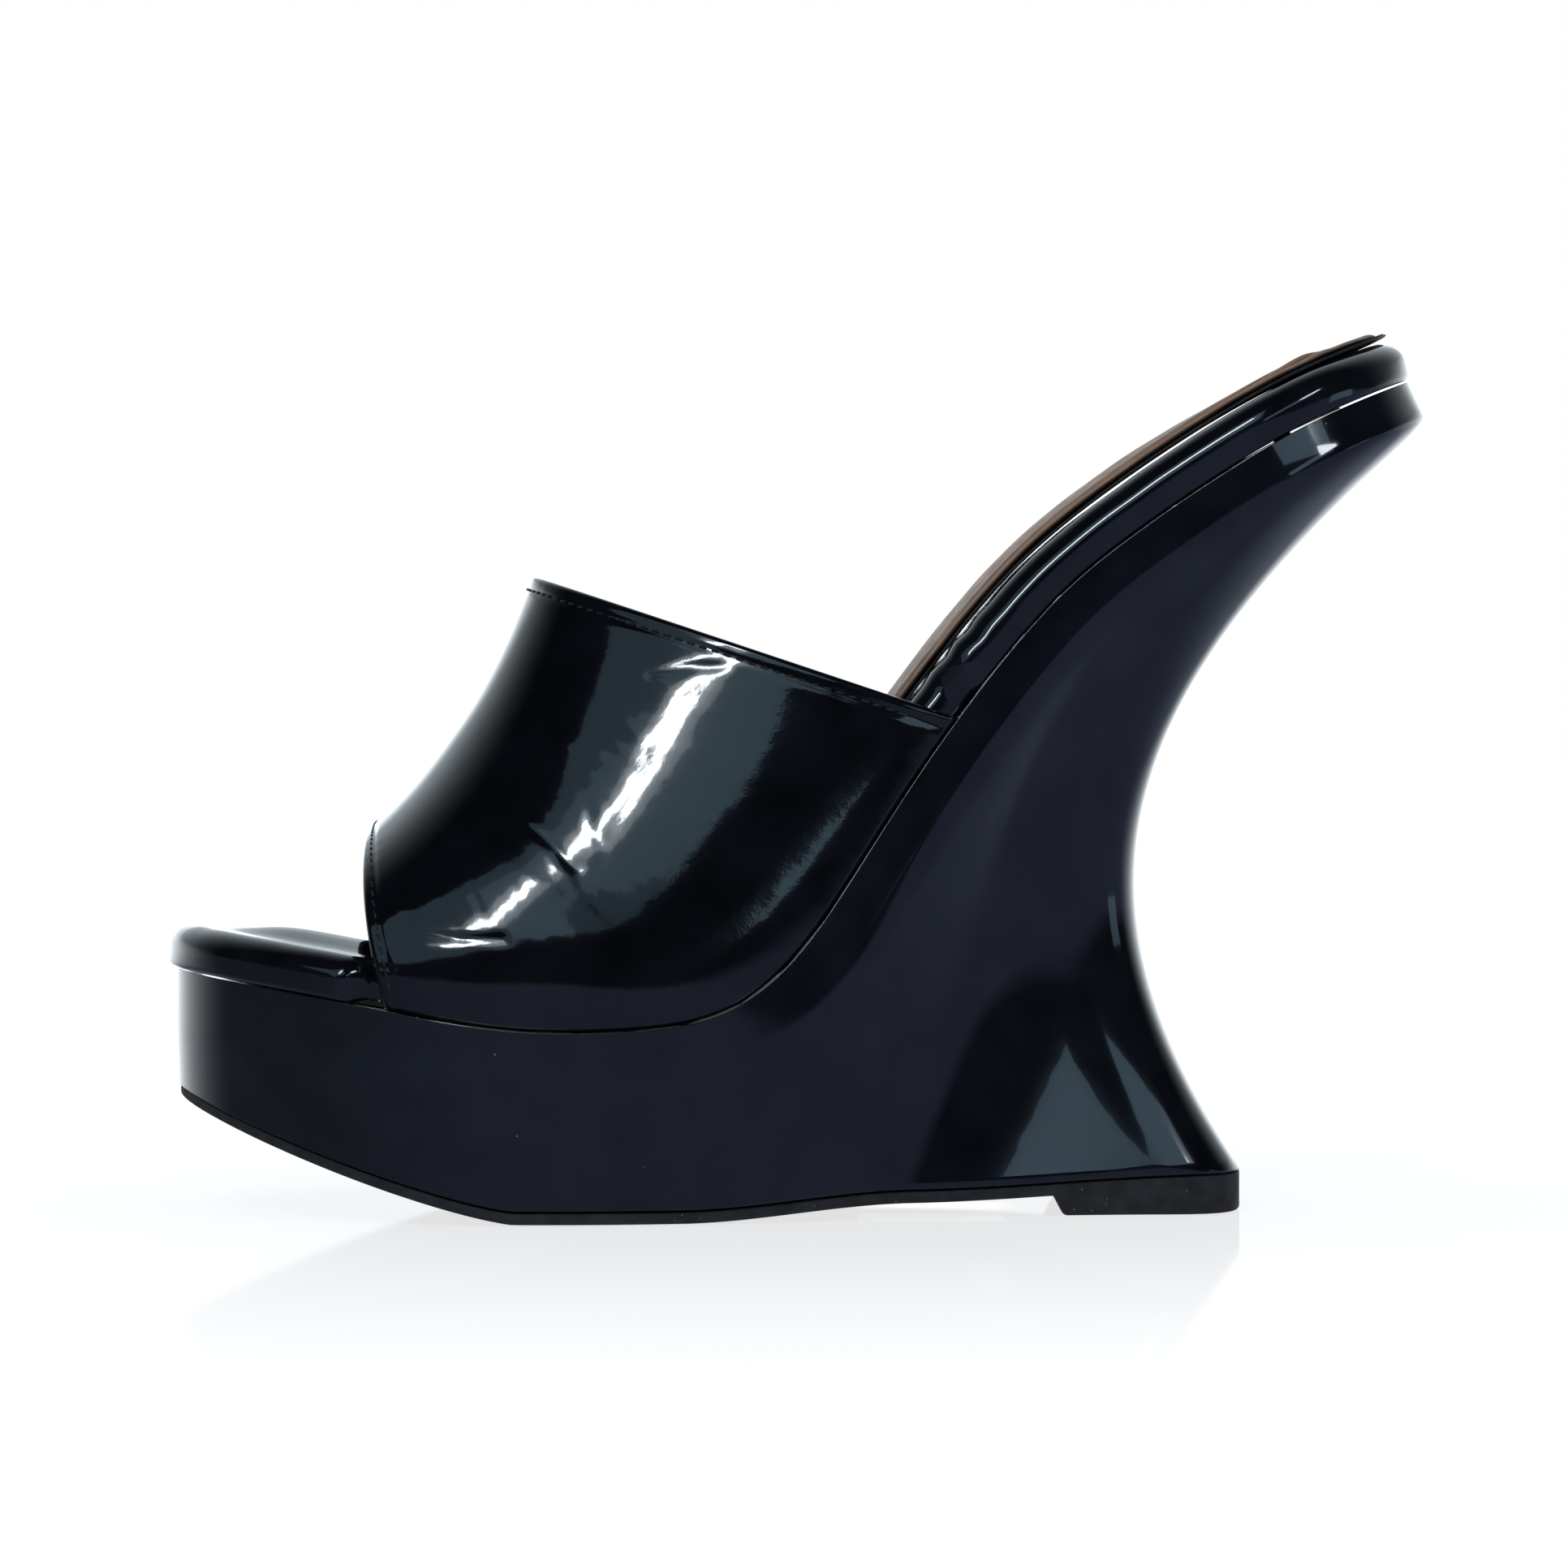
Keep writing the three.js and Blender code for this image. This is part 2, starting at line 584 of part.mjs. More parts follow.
// The wrap's turned-in margin lies on the wedge, and on the vamp's margin where that lies under it.
const wrapFoot = (lift) => (s) => lerp(MARGIN_N, WRAP_N, underVamp(s)) + lift;
const wrapInside = topRings(WRAP_WALL, RIM_N - WRAP_WALL, RIM_ROUND - WRAP_WALL).reverse();
add('footbed_wrap', loft([
  ...wrapInside,
  footbedRing(WRAP_WALL, wrapFoot(WRAP_WALL)),
  footbedRing(MARGIN_WIDTH, wrapFoot(WRAP_WALL)),
  footbedRing(MARGIN_WIDTH, wrapFoot(0)),
  footbedRing(WRAP_WALL / 2, wrapFoot(0)),
  footbedRing(0, wrapFoot(WRAP_WALL)),
  ...topRings(0, RIM_N, RIM_ROUND),
]), PATENT);

const INSIDE_WRAP = WRAP_WALL + GAP;
const board = loft([
  footbedRing(INSIDE_WRAP, BOARD_N),
  footbedRing(INSIDE_WRAP, BOARD_N + BOARD_THICKNESS),
]);
add('insole_board', cut(board, [
  ...Object.values(RIVETS).map((s) => hole(s, 0, RIVET_RADIUS + GAP, 0, FOAM_N)),
  screwBore,
  headSeat(SCREW_AT, 0, SCREW_HEAD),
  ...nailBores,
  ...NAILS.map(([s, y]) => headSeat(s, y, NAIL_HEAD)),
]), BOARD);

const foamRound = FOAM_THICKNESS - GAP;
add('footbed_foam', loft([
  footbedRing(INSIDE_WRAP + FOAM_INSET, FOAM_N),
  ...topRings(INSIDE_WRAP + FOAM_INSET, FOAM_N + FOAM_THICKNESS, foamRound, TOE_CROWN - FOAM_EASE),
]), FOAM);

// A strip along the footbed between s values, with its own half-width and heights.
function strip(from, to, half, low, high) {
  const corners = [[-half, low], [half, low], [half, high], [-half, high]];
  const rings = stations(from, to).map((s) => corners.map(([y, n]) => place(s, y, n)));
  return loft(rings, { poled: false });
}

const fillerDepth = MARGIN_WIDTH + GAP;
const filler = loft([footbedRing(fillerDepth, MARGIN_N), footbedRing(fillerDepth, SHANK_TOP)]);
const shankSlot = strip(SHANK_FROM - GAP, SHANK_TO + GAP, SHANK_HALF + GAP, 0, BOARD_N);
add('bottom_filler', cut(filler, [shankSlot, screwBore, ...nailBores]), FOAM);

const rivetHoles = Object.values(RIVETS).map((s) => hole(s, 0, RIVET_RADIUS + GAP, 0, FOAM_N));
add('shank', cut(strip(SHANK_FROM, SHANK_TO, SHANK_HALF, SHANK_BOTTOM, SHANK_TOP), rivetHoles), STEEL);
Object.entries(RIVETS).forEach(([end, s]) => add(`shank_rivet_${end}`, rivet(s), STEEL));
add('heel_screw', headed(SCREW_AT, 0, SCREW_RADIUS, SCREW_HEAD, SCREW_LENGTH), STEEL);
NAILS.forEach(([s, y], k) =>
  add(`heel_nail_${k + 1}`, headed(s, y, NAIL_RADIUS, NAIL_HEAD, NAIL_LENGTH), STEEL));

// ---------- sock: black-edged backing, centre cushion and tan face ----------

const SOCK_FROM = VAMP_FROM + CROWN_FADE; // the sock begins under the vamp
const SOCK_EDGE = RIM_ROUND + SOCK_INSET;

// A sheet between two heights, each a function of s and y, `inset` inside the sock's edge.
function sockSheet(inset, low, high) {
  const from = SOCK_FROM + inset;
  const to = SPINE_LENGTH - HEEL_INSET - SOCK_INSET - inset;
  const last = SOCK_ROUND.length - 1;
  const sections = [
    ...SOCK_ROUND.map((step) => from + step).slice(0, last),
    ...stations(from + SOCK_ROUND[last], to - SOCK_ROUND[last]),
    ...SOCK_ROUND.map((step) => to - step).slice(0, last).reverse(),
  ].map((s) => {
    const ends = roundEnd(s - from, SOCK_FRONT_REACH, SOCK_FRONT_POWER)
      * roundEnd(to - s, SEAT_REACH - SOCK_EDGE, SEAT_POWER);
    const across = (side) => {
      const wide = topHalfWidth(clamp(s, TOE_REACH, SPINE_LENGTH - SEAT_REACH), side);
      return side * Math.max(SOCK_TIP, (wide - footbedInset(s) - SOCK_EDGE - inset) * ends);
    };
    const lines = [];
    for (let k = 0; k <= SOCK_LINES; k++) {
      lines.push(lerp(across(OUTER), across(INNER), k / SOCK_LINES));
    }
    const under = lines.map((y) => place(s, y, low(s, y)));
    const over = lines.map((y) => place(s, y, high(s, y)));
    return [...under, ...over.reverse()];
  });
  return loft(sections, { poled: false });
}

add('sock_backing', sockSheet(0, () => SOCK_N, () => SOCK_N + SOCK_BACKING), LINING);

// The cushion is a low crowned pad down the middle, thinning to its ends.
const CUSHION_FROM = SOCK_FROM + CUSHION_AHEAD;
const CUSHION_TO = SPINE_LENGTH - CUSHION_BEHIND;

function crown(s, y) {
  const across = clamp(1 - (y / CUSHION_HALF) ** 2, 0, 1);
  const along = smoothstep(s, CUSHION_FROM, CUSHION_FROM + CUSHION_FADE)
    * (1 - smoothstep(s, CUSHION_TO - CUSHION_FADE, CUSHION_TO));
  return across * along * CUSHION_THICKNESS;
}

const cushion = stations(CUSHION_FROM, CUSHION_TO).map((s) => {
  const lines = [-1, -2 / 3, -1 / 3, 0, 1 / 3, 2 / 3, 1].map((share) => share * CUSHION_HALF);
  const under = lines.map((y) => place(s, y, TAN_N));
  const over = lines.map((y) => place(s, y, TAN_N + CUSHION_EDGE + crown(s, y)));
  return [...under, ...over.reverse()];
});
add('sock_cushion', loft(cushion, { poled: false }), FOAM);

// Underside of the tan face, lifted over the cushion like a tent.
const tanLow = (s, y) => {
  const down = CUSHION_HALF + TENT_BESIDE;
  const beside = 1 - smoothstep(Math.abs(y), down, down + TENT_SLOPE);
  const front = CUSHION_FROM - TENT_BEYOND;
  const rear = CUSHION_TO + TENT_BEYOND;
  const along = smoothstep(s, front - TENT_SLOPE, front) * (1 - smoothstep(s, rear, rear + TENT_SLOPE));
  return TAN_N + beside * along * (CUSHION_EDGE + 2 * GAP) + crown(s, y);
};
add('sock_lining', sockSheet(TAN_INSET, tanLow, (s, y) => tanLow(s, y) + SOCK_LEATHER), TAN);

// ---------- vamp ----------

const VAMP_LENGTH = VAMP_TO - VAMP_FROM;

// A point of the vamp: `along` from front to rear edge, `angle` from the outer foot over the
// ridge to the inner foot, `depth` below the outer face, `low` the height of the foot.
function vampPoint(along, angle, depth, low) {
  const s = lerp(VAMP_FROM, VAMP_TO, along);
  const seam = place(s, 0, 0);
  const front = place(VAMP_FROM, 0, 0).add(point(-VAMP_FRONT_REACH, 0, VAMP_FRONT_RISE));
  const rear = place(VAMP_TO, 0, 0).add(point(-VAMP_REAR_REACH, 0, VAMP_REAR_RISE));
  const sag = rear.clone().sub(front).normalize().multiplyScalar(2 * RIDGE_SAG);
  const middle = front.clone().lerp(rear, 0.5).add(point(sag.z, 0, -sag.x));
  const ridge = new THREE.QuadraticBezierCurve3(front, middle, rear).getPoint(along);
  const rise = ridge.clone().sub(seam).normalize();
  ridge.addScaledVector(rise, -depth);
  const foot = place(s, 0, low);
  const side = angle < Math.PI / 2 ? OUTER : INNER;
  const shift = swing(s / SPINE_LENGTH);
  const edge = shift + side * (topHalfWidth(s, side) - depth);
  const over = Math.abs(Math.cos(angle)) ** (2 / ARCH_POWER);
  const climb = Math.sin(angle) ** (2 / ARCH_POWER);
  const p = foot.lerp(ridge, climb);
  p.x -= FRONT_BOW * (1 - along) * Math.sin(Math.PI * climb);
  p.y = lerp(RIDGE_SHIFT, edge, over);
  return p;
}

// Equal steps of angle over the arch.
const ARCH_ANGLES = Array.from({ length: ARCH_STEPS + 1 }, (_, k) => Math.PI * k / ARCH_STEPS);
const arch = (along, depth, low) => ARCH_ANGLES.map((angle) => vampPoint(along, angle, depth, low));

// The margin of the vamp's outer, turned in over the wedge.
function margin(along, side, low) {
  const s = lerp(VAMP_FROM, VAMP_TO, along);
  const edge = swing(s / SPINE_LENGTH) + side * (topHalfWidth(s, side) - MARGIN_WIDTH);
  return place(s, edge, low);
}

function shell(section) {
  const rings = stations(VAMP_FROM, VAMP_TO).map((s) => section((s - VAMP_FROM) / VAMP_LENGTH));
  return loft(rings, { poled: false });
}

add('vamp_outer', shell((along) => {
  const inside = MARGIN_N + VAMP_OUTER_WALL;
  return [
    margin(along, OUTER, MARGIN_N),
    ...arch(along, 0, MARGIN_N),
    margin(along, INNER, MARGIN_N),
    margin(along, INNER, inside),
    ...arch(along, VAMP_OUTER_WALL, inside).reverse(),
    margin(along, OUTER, inside),
  ];
}), PATENT);

function linedShell(depth, wall) {
  const low = MARGIN_N + VAMP_OUTER_WALL + GAP;
  return shell((along) => [...arch(along, depth, low), ...arch(along, depth + wall, low).reverse()]);
}

const interliningDepth = VAMP_OUTER_WALL + GAP;
const liningDepth = interliningDepth + VAMP_INTERLINING_WALL + GAP;
add('vamp_interlining', linedShell(interliningDepth, VAMP_INTERLINING_WALL), LINING);
add('vamp_lining', linedShell(liningDepth, VAMP_LINING_WALL), LINING);

// A row of stitches, drawn as its thread lying along the vamp.
function thread(along) {
  const line = new THREE.CatmullRomCurve3(ARCH_ANGLES.map((angle) => {
    const inside = clamp(angle, THREAD_FROM, Math.PI - THREAD_FROM);
    return vampPoint(along, inside, -THREAD_RADIUS - GAP, MARGIN_N);
  }));
  const round = new THREE.Shape().absarc(0, 0, THREAD_RADIUS, 0, 2 * Math.PI);
  return new THREE.ExtrudeGeometry(round, { steps: 2 * ARCH_STEPS, curveSegments: 3, extrudePath: line });
}
add('front_stitching', thread(THREAD_INSET / VAMP_LENGTH), THREAD);
add('rear_stitching', thread(1 - THREAD_INSET / VAMP_LENGTH), THREAD);

// ---------- outsole and label ----------

function soleRing(inset, height) {
  return ring((u, side) => {
    const at = solePoint(u, side, inset);
    return point(at.x, at.y, height(at.share));
  });
}

const soleTop = (share) => wedgeFoot(share) - GAP;
const sheet = loft([soleRing(OUTSOLE_INSET, soleLift), soleRing(OUTSOLE_INSET, soleTop)]);
const bevelled = loft([
  soleRing(OUTSOLE_INSET + HEEL_BLOCK_BEVEL, () => 0),
  soleRing(OUTSOLE_INSET, () => HEEL_BLOCK_BEVEL),
  soleRing(OUTSOLE_INSET, soleTop),
]);
const rearHalf = new THREE.BoxGeometry(SOLE_LENGTH, 4 * HEEL_HALF, 4 * TOE_LIFT);
rearHalf.translate((HEEL_BLOCK_FRONT + 0.5) * SOLE_LENGTH, 0, 0);
const heelBlock = toManifold(bevelled).intersect(toManifold(rearHalf));
add('outsole', fromManifold(toManifold(sheet).add(heelBlock)), RUBBER);

const labelAt = LABEL_AT * SOLE_LENGTH;
const label = new THREE.BoxGeometry(LABEL_LENGTH, LABEL_WIDTH, LABEL_THICKNESS);
label.translate(labelAt, 0, WAIST_LIFT - GAP - LABEL_THICKNESS);
add('size_label', label, PAPER);

// ---------- the part's frame: centred on its box, standing on Z = 0 ----------

const box = new THREE.Box3().setFromObject(shoe);
const centre = box.getCenter(new THREE.Vector3());
shoe.position.set(-centre.x, -centre.y, -box.min.z);

export default shoe;
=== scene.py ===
# %% [markdown]
# # A platform wedge mule in black patent
# The shoe is an open-toed, open-backed slide for the left foot. A moulded wedge is wrapped in
# patent, a padded footbed lies on it, and one wide vamp holds the foot. The CAD frame gives the
# sizes and the inner structure. The outer skins are rebuilt here as dense smooth surfaces,
# because on black gloss every facet of a coarse mesh shows as a kink in the reflections.

# %% Load the frame
import math

import bmesh
import bpy
import numpy as np
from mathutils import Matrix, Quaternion, Vector


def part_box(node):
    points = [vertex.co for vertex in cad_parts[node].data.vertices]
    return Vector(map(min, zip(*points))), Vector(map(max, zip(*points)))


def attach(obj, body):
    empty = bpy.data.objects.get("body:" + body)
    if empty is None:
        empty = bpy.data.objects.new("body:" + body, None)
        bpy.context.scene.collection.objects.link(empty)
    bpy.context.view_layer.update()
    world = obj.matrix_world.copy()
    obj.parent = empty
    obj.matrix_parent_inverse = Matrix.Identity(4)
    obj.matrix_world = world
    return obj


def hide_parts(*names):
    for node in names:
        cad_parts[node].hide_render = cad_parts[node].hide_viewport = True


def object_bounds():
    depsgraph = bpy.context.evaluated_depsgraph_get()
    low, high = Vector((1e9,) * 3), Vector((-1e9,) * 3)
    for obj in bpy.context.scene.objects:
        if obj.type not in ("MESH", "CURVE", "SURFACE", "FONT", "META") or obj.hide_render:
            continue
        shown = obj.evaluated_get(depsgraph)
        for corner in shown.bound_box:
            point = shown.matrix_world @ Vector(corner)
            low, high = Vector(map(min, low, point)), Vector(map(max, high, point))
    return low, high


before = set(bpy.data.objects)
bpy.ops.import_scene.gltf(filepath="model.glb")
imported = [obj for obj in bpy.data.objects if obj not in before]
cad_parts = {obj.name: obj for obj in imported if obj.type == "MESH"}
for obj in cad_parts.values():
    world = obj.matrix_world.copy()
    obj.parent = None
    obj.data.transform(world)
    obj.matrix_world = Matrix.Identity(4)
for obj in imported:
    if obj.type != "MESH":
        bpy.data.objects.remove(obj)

cad_low, cad_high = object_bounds()
print("CAD nodes:", len(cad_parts), "box:", [round(v, 4) for v in (*cad_low, *cad_high)])

# %% [markdown]
# ## Design coordinates
# The shoe was designed in millimetres along its spine, the side view of the wedge's top face.
# A place on the footbed is (s, y, n): the length along the spine from the toe, the distance
# across it, and the height above the wedge's top face, square to that face. Building the skins
# in the same coordinates keeps each one on the CAD layer that it stands for. A natural cubic
# spline carries the spine and the widths, because its curvature has no jumps, and a jump in
# curvature is a bend in a reflection.

# %% Spine
MM = 0.001
SHOE_LENGTH = 201.8
PLATFORM_TOP = 30.2
TOE_SPRING = 8.8
HEEL_RISE = 104.2

# Rows: share of the length, share of the toe spring, share of the heel rise
TOP_PROFILE = np.array([
    [0, 1, 0],
    [0.135, 0.557, 0],
    [0.26, 0.08, 0],
    [0.345, 0, 0],
    [0.425, 0, 0.016],
    [0.47, 0, 0.056],
    [0.513, 0, 0.138],
    [0.576, 0, 0.3215],
    [0.64, 0, 0.5],
    [0.705, 0, 0.65],
    [0.768, 0, 0.753],
    [0.895, 0, 0.911],
    [1, 0, 1],
])


def smooth_through(at, values):
    """A natural cubic spline. Its second derivatives m solve
    h0 m0 + 2 (h0 + h1) m1 + h1 m2 = 6 (slope1 - slope0), with m = 0 at both ends; between two
    knots it mixes their values and takes off a cubic share of their m."""
    at, values = np.asarray(at, float), np.asarray(values, float)
    h = np.diff(at)
    inner = np.arange(1, len(at) - 1)
    system = np.eye(len(at))
    system[inner, inner - 1] = h[:-1]
    system[inner, inner] = 2 * (h[:-1] + h[1:])
    system[inner, inner + 1] = h[1:]
    right = np.zeros(len(at))
    right[1:-1] = 6 * np.diff(np.diff(values) / h)
    bend = np.linalg.solve(system, right)

    def curve(t):
        t = np.clip(np.asarray(t, float), at[0], at[-1])
        k = np.clip(np.searchsorted(at, t, side="right") - 1, 0, len(h) - 1)
        b = (t - at[k]) / h[k]
        a = 1 - b
        cubic = (a**3 - a) * bend[k] + (b**3 - b) * bend[k + 1]
        return a * values[k] + b * values[k + 1] + cubic * h[k] ** 2 / 6

    return curve


def spine_table(samples=6000):
    """Rows of s, x, z and the direction (x, z) of the spine, through the profile's knots. The
    curve's parameter grows with the square root of the distance between knots."""
    x = TOP_PROFILE[:, 0] * SHOE_LENGTH
    z = PLATFORM_TOP + TOP_PROFILE[:, 1] * TOE_SPRING + TOP_PROFILE[:, 2] * HEEL_RISE
    t = np.r_[0, np.cumsum(np.sqrt(np.hypot(np.diff(x), np.diff(z))))]
    dense = np.linspace(0, t[-1], samples)
    x, z = smooth_through(t, x)(dense), smooth_through(t, z)(dense)
    s = np.r_[0, np.cumsum(np.hypot(np.diff(x), np.diff(z)))]
    return s, x, z, np.gradient(x, s), np.gradient(z, s)


SPINE = spine_table()
SPINE_LENGTH = SPINE[0][-1]
print(f"spine {SPINE_LENGTH:.1f} mm long")


def directions(s):
    """Unit directions in (x, y, z) at s: along the spine, and up, square to the footbed."""
    ax = np.interp(s, SPINE[0], SPINE[3])
    az = np.interp(s, SPINE[0], SPINE[4])
    size = np.hypot(ax, az)
    ax, az, none = ax / size, az / size, 0 * ax
    return np.stack([ax, none, az], -1), np.stack([-az, none, ax], -1)


def place(s, y, n):
    """The point at (s, y, n); beyond its ends the spine runs on straight."""
    s, y, n = np.broadcast_arrays(np.asarray(s, float), y, n)
    within = np.clip(s, 0, SPINE_LENGTH)
    along, up = directions(within)
    on = np.stack([np.interp(within, SPINE[0], SPINE[1]), y, np.interp(within, SPINE[0], SPINE[2])], -1)
    return on + along * (s - within)[..., None] + up * n[..., None]


# %% [markdown]
# ## Outlines
# Seen from above, the footbed is a width along the spine, times a superellipse that rounds the
# toe and the heel seat. Points are spread evenly along the outline, not along the spine, so the
# round ends are drawn as finely as the sides.

# %% Outline of the top face
BALL_OUTER, BALL_INNER = 43.5, 42.5
WAIST_HALF, SEAT_HALF, HEEL_HALF = 33.0, 30.0, 21.5
TOE_REACH, TOE_POWER = 52.0, 2.3
SEAT_REACH, SEAT_POWER = 30.0, 2.05
HEEL_REACH, HEEL_POWER = 15.0, 3.2
TOE_SWING, SWING_TO = 4.0, 0.35  # the toe turns inwards by this much, over this share
OUTER, INNER = -1, 1


def mix(a, b, share):
    """a at share 0, b at share 1."""
    return a + (b - a) * share


def ease(x, start, end):
    """0 before start, 1 after end, 6 t^5 - 15 t^4 + 10 t^3 between, which has no bend at its ends."""
    t = np.clip((x - start) / (end - start), 0, 1)
    return t**3 * (t * (6 * t - 15) + 10)


def smoothstep(x, start, end):
    """0 before start, 1 after end, 3 t^2 - 2 t^3 between, as in the CAD."""
    t = np.clip((x - start) / (end - start), 0, 1)
    return t * t * (3 - 2 * t)


def round_end(distance, reach, power):
    """0 at an end and 1 from reach inwards: (1 - (1 - distance / reach)^power)^(1 / power)."""
    left = np.clip(1 - distance / reach, 0, 1)
    return (1 - left**power) ** (1 / power)


# %% Widths along the shoe
def top_widths(ball):
    """Half-width of the top face by share of the spine: a spline, widest at the ball."""
    shares = [0, 0.16, 0.3, 0.43, 0.57, 0.7, 0.85, 1]
    front = [ball - 6, ball - 2.3, ball, ball - 4]
    rear = [WAIST_HALF + 1, mix(WAIST_HALF, SEAT_HALF, 0.7), SEAT_HALF, SEAT_HALF]
    return smooth_through(shares, front + rear)


def sole_widths(ball):
    """Half-width of the wedge's foot by share of its length: a spline that ends far narrower."""
    shares = [0, 0.19, 0.35, 0.5, 0.62, 0.75, 0.87, 1]
    front = [ball - 6.5, ball - 2.6, ball - 0.6, ball - 4.4]
    rear = [mix(ball, HEEL_HALF, 0.5), mix(ball, HEEL_HALF, 0.78), HEEL_HALF + 1, HEEL_HALF]
    return smooth_through(shares, front + rear)


TOP_WIDTH = {OUTER: top_widths(BALL_OUTER), INNER: top_widths(BALL_INNER)}
SOLE_WIDTH = {OUTER: sole_widths(BALL_OUTER), INNER: sole_widths(BALL_INNER)}


def pick(side, table, share):
    """The outer side's value where side is -1, the inner side's elsewhere."""
    return np.where(side < 0, table[OUTER](share), table[INNER](share))


def swing(share):
    """How far the middle line turns inwards at the toe: TOE_SWING (1 - share / SWING_TO)^2."""
    return TOE_SWING * np.clip(1 - share / SWING_TO, 0, 1) ** 2


def top_half_width(s, side):
    """The side's width at s, times the two round ends."""
    ends = round_end(s, TOE_REACH, TOE_POWER) * round_end(SPINE_LENGTH - s, SEAT_REACH, SEAT_POWER)
    return pick(side, TOP_WIDTH, s / SPINE_LENGTH) * ends


print("half-width at the ball:", float(top_half_width(0.3 * SPINE_LENGTH, OUTER)), "mm on the outer side")


# %% Ring round the top face
def even_stations(count, length, half):
    """Lengths from 0 to `length` that lie evenly along the outline y = half(length)."""
    dense = length * (1 - np.cos(np.linspace(0, np.pi, 40001))) / 2
    run = np.r_[0, np.cumsum(np.hypot(np.diff(dense), np.diff(half(dense))))]
    return np.interp(np.linspace(0, run[-1], count + 1), run, dense)


COLUMNS = 260  # along each side, toe to heel


def ring_of(stations):
    """Lengths and sides of a closed ring: toe to heel on the outer side, then back on the inner."""
    back = stations[-2:0:-1]
    return np.r_[stations, back], np.r_[np.full(len(stations), OUTER), np.full(len(back), INNER)]


def outward(s, y):
    """Unit direction out of a closed ring, square to the line between a point's neighbours."""
    ds, dy = np.roll(s, -1) - np.roll(s, 1), np.roll(y, -1) - np.roll(y, 1)
    size = np.hypot(ds, dy)
    return dy / size, -ds / size


STATIONS = even_stations(COLUMNS, SPINE_LENGTH, lambda s: top_half_width(s, np.full_like(s, OUTER)))
RING_S, RING_SIDE = ring_of(STATIONS)
RING_SHARE = RING_S / SPINE_LENGTH
RING_Y = swing(RING_SHARE) + RING_SIDE * top_half_width(RING_S, RING_SIDE)
OUT_S, OUT_Y = outward(RING_S, RING_Y)
print(f"{len(RING_S)} points round the outline, which is {2 * RING_Y.max():.1f} mm wide at the ball")

# %% [markdown]
# ## From arrays to meshes
# Each skin is a grid of points, worked out as whole arrays. from_pydata takes the points and the
# quads, and merging doubles closes the poles and seams. Solidify gives a skin its thickness.
# A quad faces the side from which its corners run anticlockwise, so a grid that comes out facing
# inwards has the order of its corners reversed. One move sets the design's millimetres into the
# frame: the toe of the wedge cover and its outer edge are where the CAD's own node has them.

# %% Place in the frame
cover_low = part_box("wedge_cover")[0]
SHIFT = np.array([cover_low.x, cover_low.y - RING_Y.min() * MM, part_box("outsole")[0].z])


def to_frame(points):
    """Design millimetres to the frame's metres."""
    return np.asarray(points, float) * MM + SHIFT


print("the spine starts at", [round(float(v), 4) for v in to_frame(place(0, 0, 0))])


# %% Grids and pieces
def quads(rows, columns, closed=False):
    """Index rows of the quads of a grid; a closed grid joins its last column to its first."""
    index = np.arange(rows * columns).reshape(rows, columns)
    right = np.roll(index, -1, axis=1) if closed else index[:, 1:]
    left = index if closed else index[:, :-1]
    return np.stack([left[:-1], right[:-1], right[1:], left[1:]], -1).reshape(-1, 4)


MERGE_DISTANCE = 2e-6


def piece(name, points, faces, material, replaces=(), thickness=0.0, merge=True, marks=None):
    """A mesh object from points in design millimetres, smooth shaded. merge closes its poles and
    seams; thickness, in millimetres, is added inwards by Solidify. marks is a value for each
    point, which the material can read as the attribute of that name."""
    mesh = bpy.data.meshes.new(name)
    mesh.from_pydata(to_frame(points.reshape(-1, 3)).tolist(), [], np.asarray(faces).tolist())
    if marks is not None:
        mesh.attributes.new("marks", "FLOAT", "POINT").data.foreach_set("value", marks.ravel())
    made = bpy.data.objects.new(name, mesh)
    bpy.context.scene.collection.objects.link(made)
    work = bmesh.new()
    work.from_mesh(mesh)
    if merge:
        bmesh.ops.remove_doubles(work, verts=work.verts, dist=MERGE_DISTANCE)
    work.to_mesh(mesh)
    work.free()
    mesh.polygons.foreach_set("use_smooth", np.ones(len(mesh.polygons), bool))
    mesh.materials.append(material)
    if thickness:
        wall = made.modifiers.new("Wall", "SOLIDIFY")
        wall.thickness = thickness * MM
        wall.offset = -1
        wall.use_even_offset = False
    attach(made, "root")
    if replaces:
        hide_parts(*replaces)
    print(f"{name}: {len(mesh.vertices)} vertices")
    return made


# %% Waves and bells
def bell(distance, width):
    """1 at distance 0, fading on both sides as exp(-(distance / width)^2)."""
    return np.exp(-((distance / width) ** 2))


def ripples(u, v, wavelength, seed, waves=18):
    """Smooth noise of about -1 to 1: the sum of plane waves in random directions, whose lengths
    lie between 0.7 and 1.6 of the given one."""
    luck = np.random.default_rng(seed)
    total = np.zeros(np.broadcast(u, v).shape)
    for _ in range(waves):
        turn, start = luck.uniform(0, 2 * np.pi, 2)
        pace = 2 * np.pi / (wavelength * luck.uniform(0.7, 1.6))
        total += np.sin((u * np.cos(turn) + v * np.sin(turn)) * pace + start)
    return total * math.sqrt(2 / waves) / 2


print("a bell of width 3 is", round(float(bell(3, 3)), 3), "at distance 3")

# %% [markdown]
# ## Material helpers
# Every finish is a Principled shader with its own small node network on Object coordinates, so
# the pattern stays with the piece from every side. Patterns are given by the size of a mark in
# millimetres. Constants such as the coat are set on the shader's sockets.

# %% Node helpers
def new_material(name, roughness, **sockets):
    """A material and its nodes, with the Principled shader's constant sockets set by name."""
    made = bpy.data.materials.new(name)
    made.use_nodes = True
    nodes = made.node_tree.nodes
    shader = nodes["Principled BSDF"]
    shader.inputs["Roughness"].default_value = roughness
    for socket, value in sockets.items():
        shader.inputs[socket.replace("_", " ")].default_value = value
    return made, made.node_tree, shader


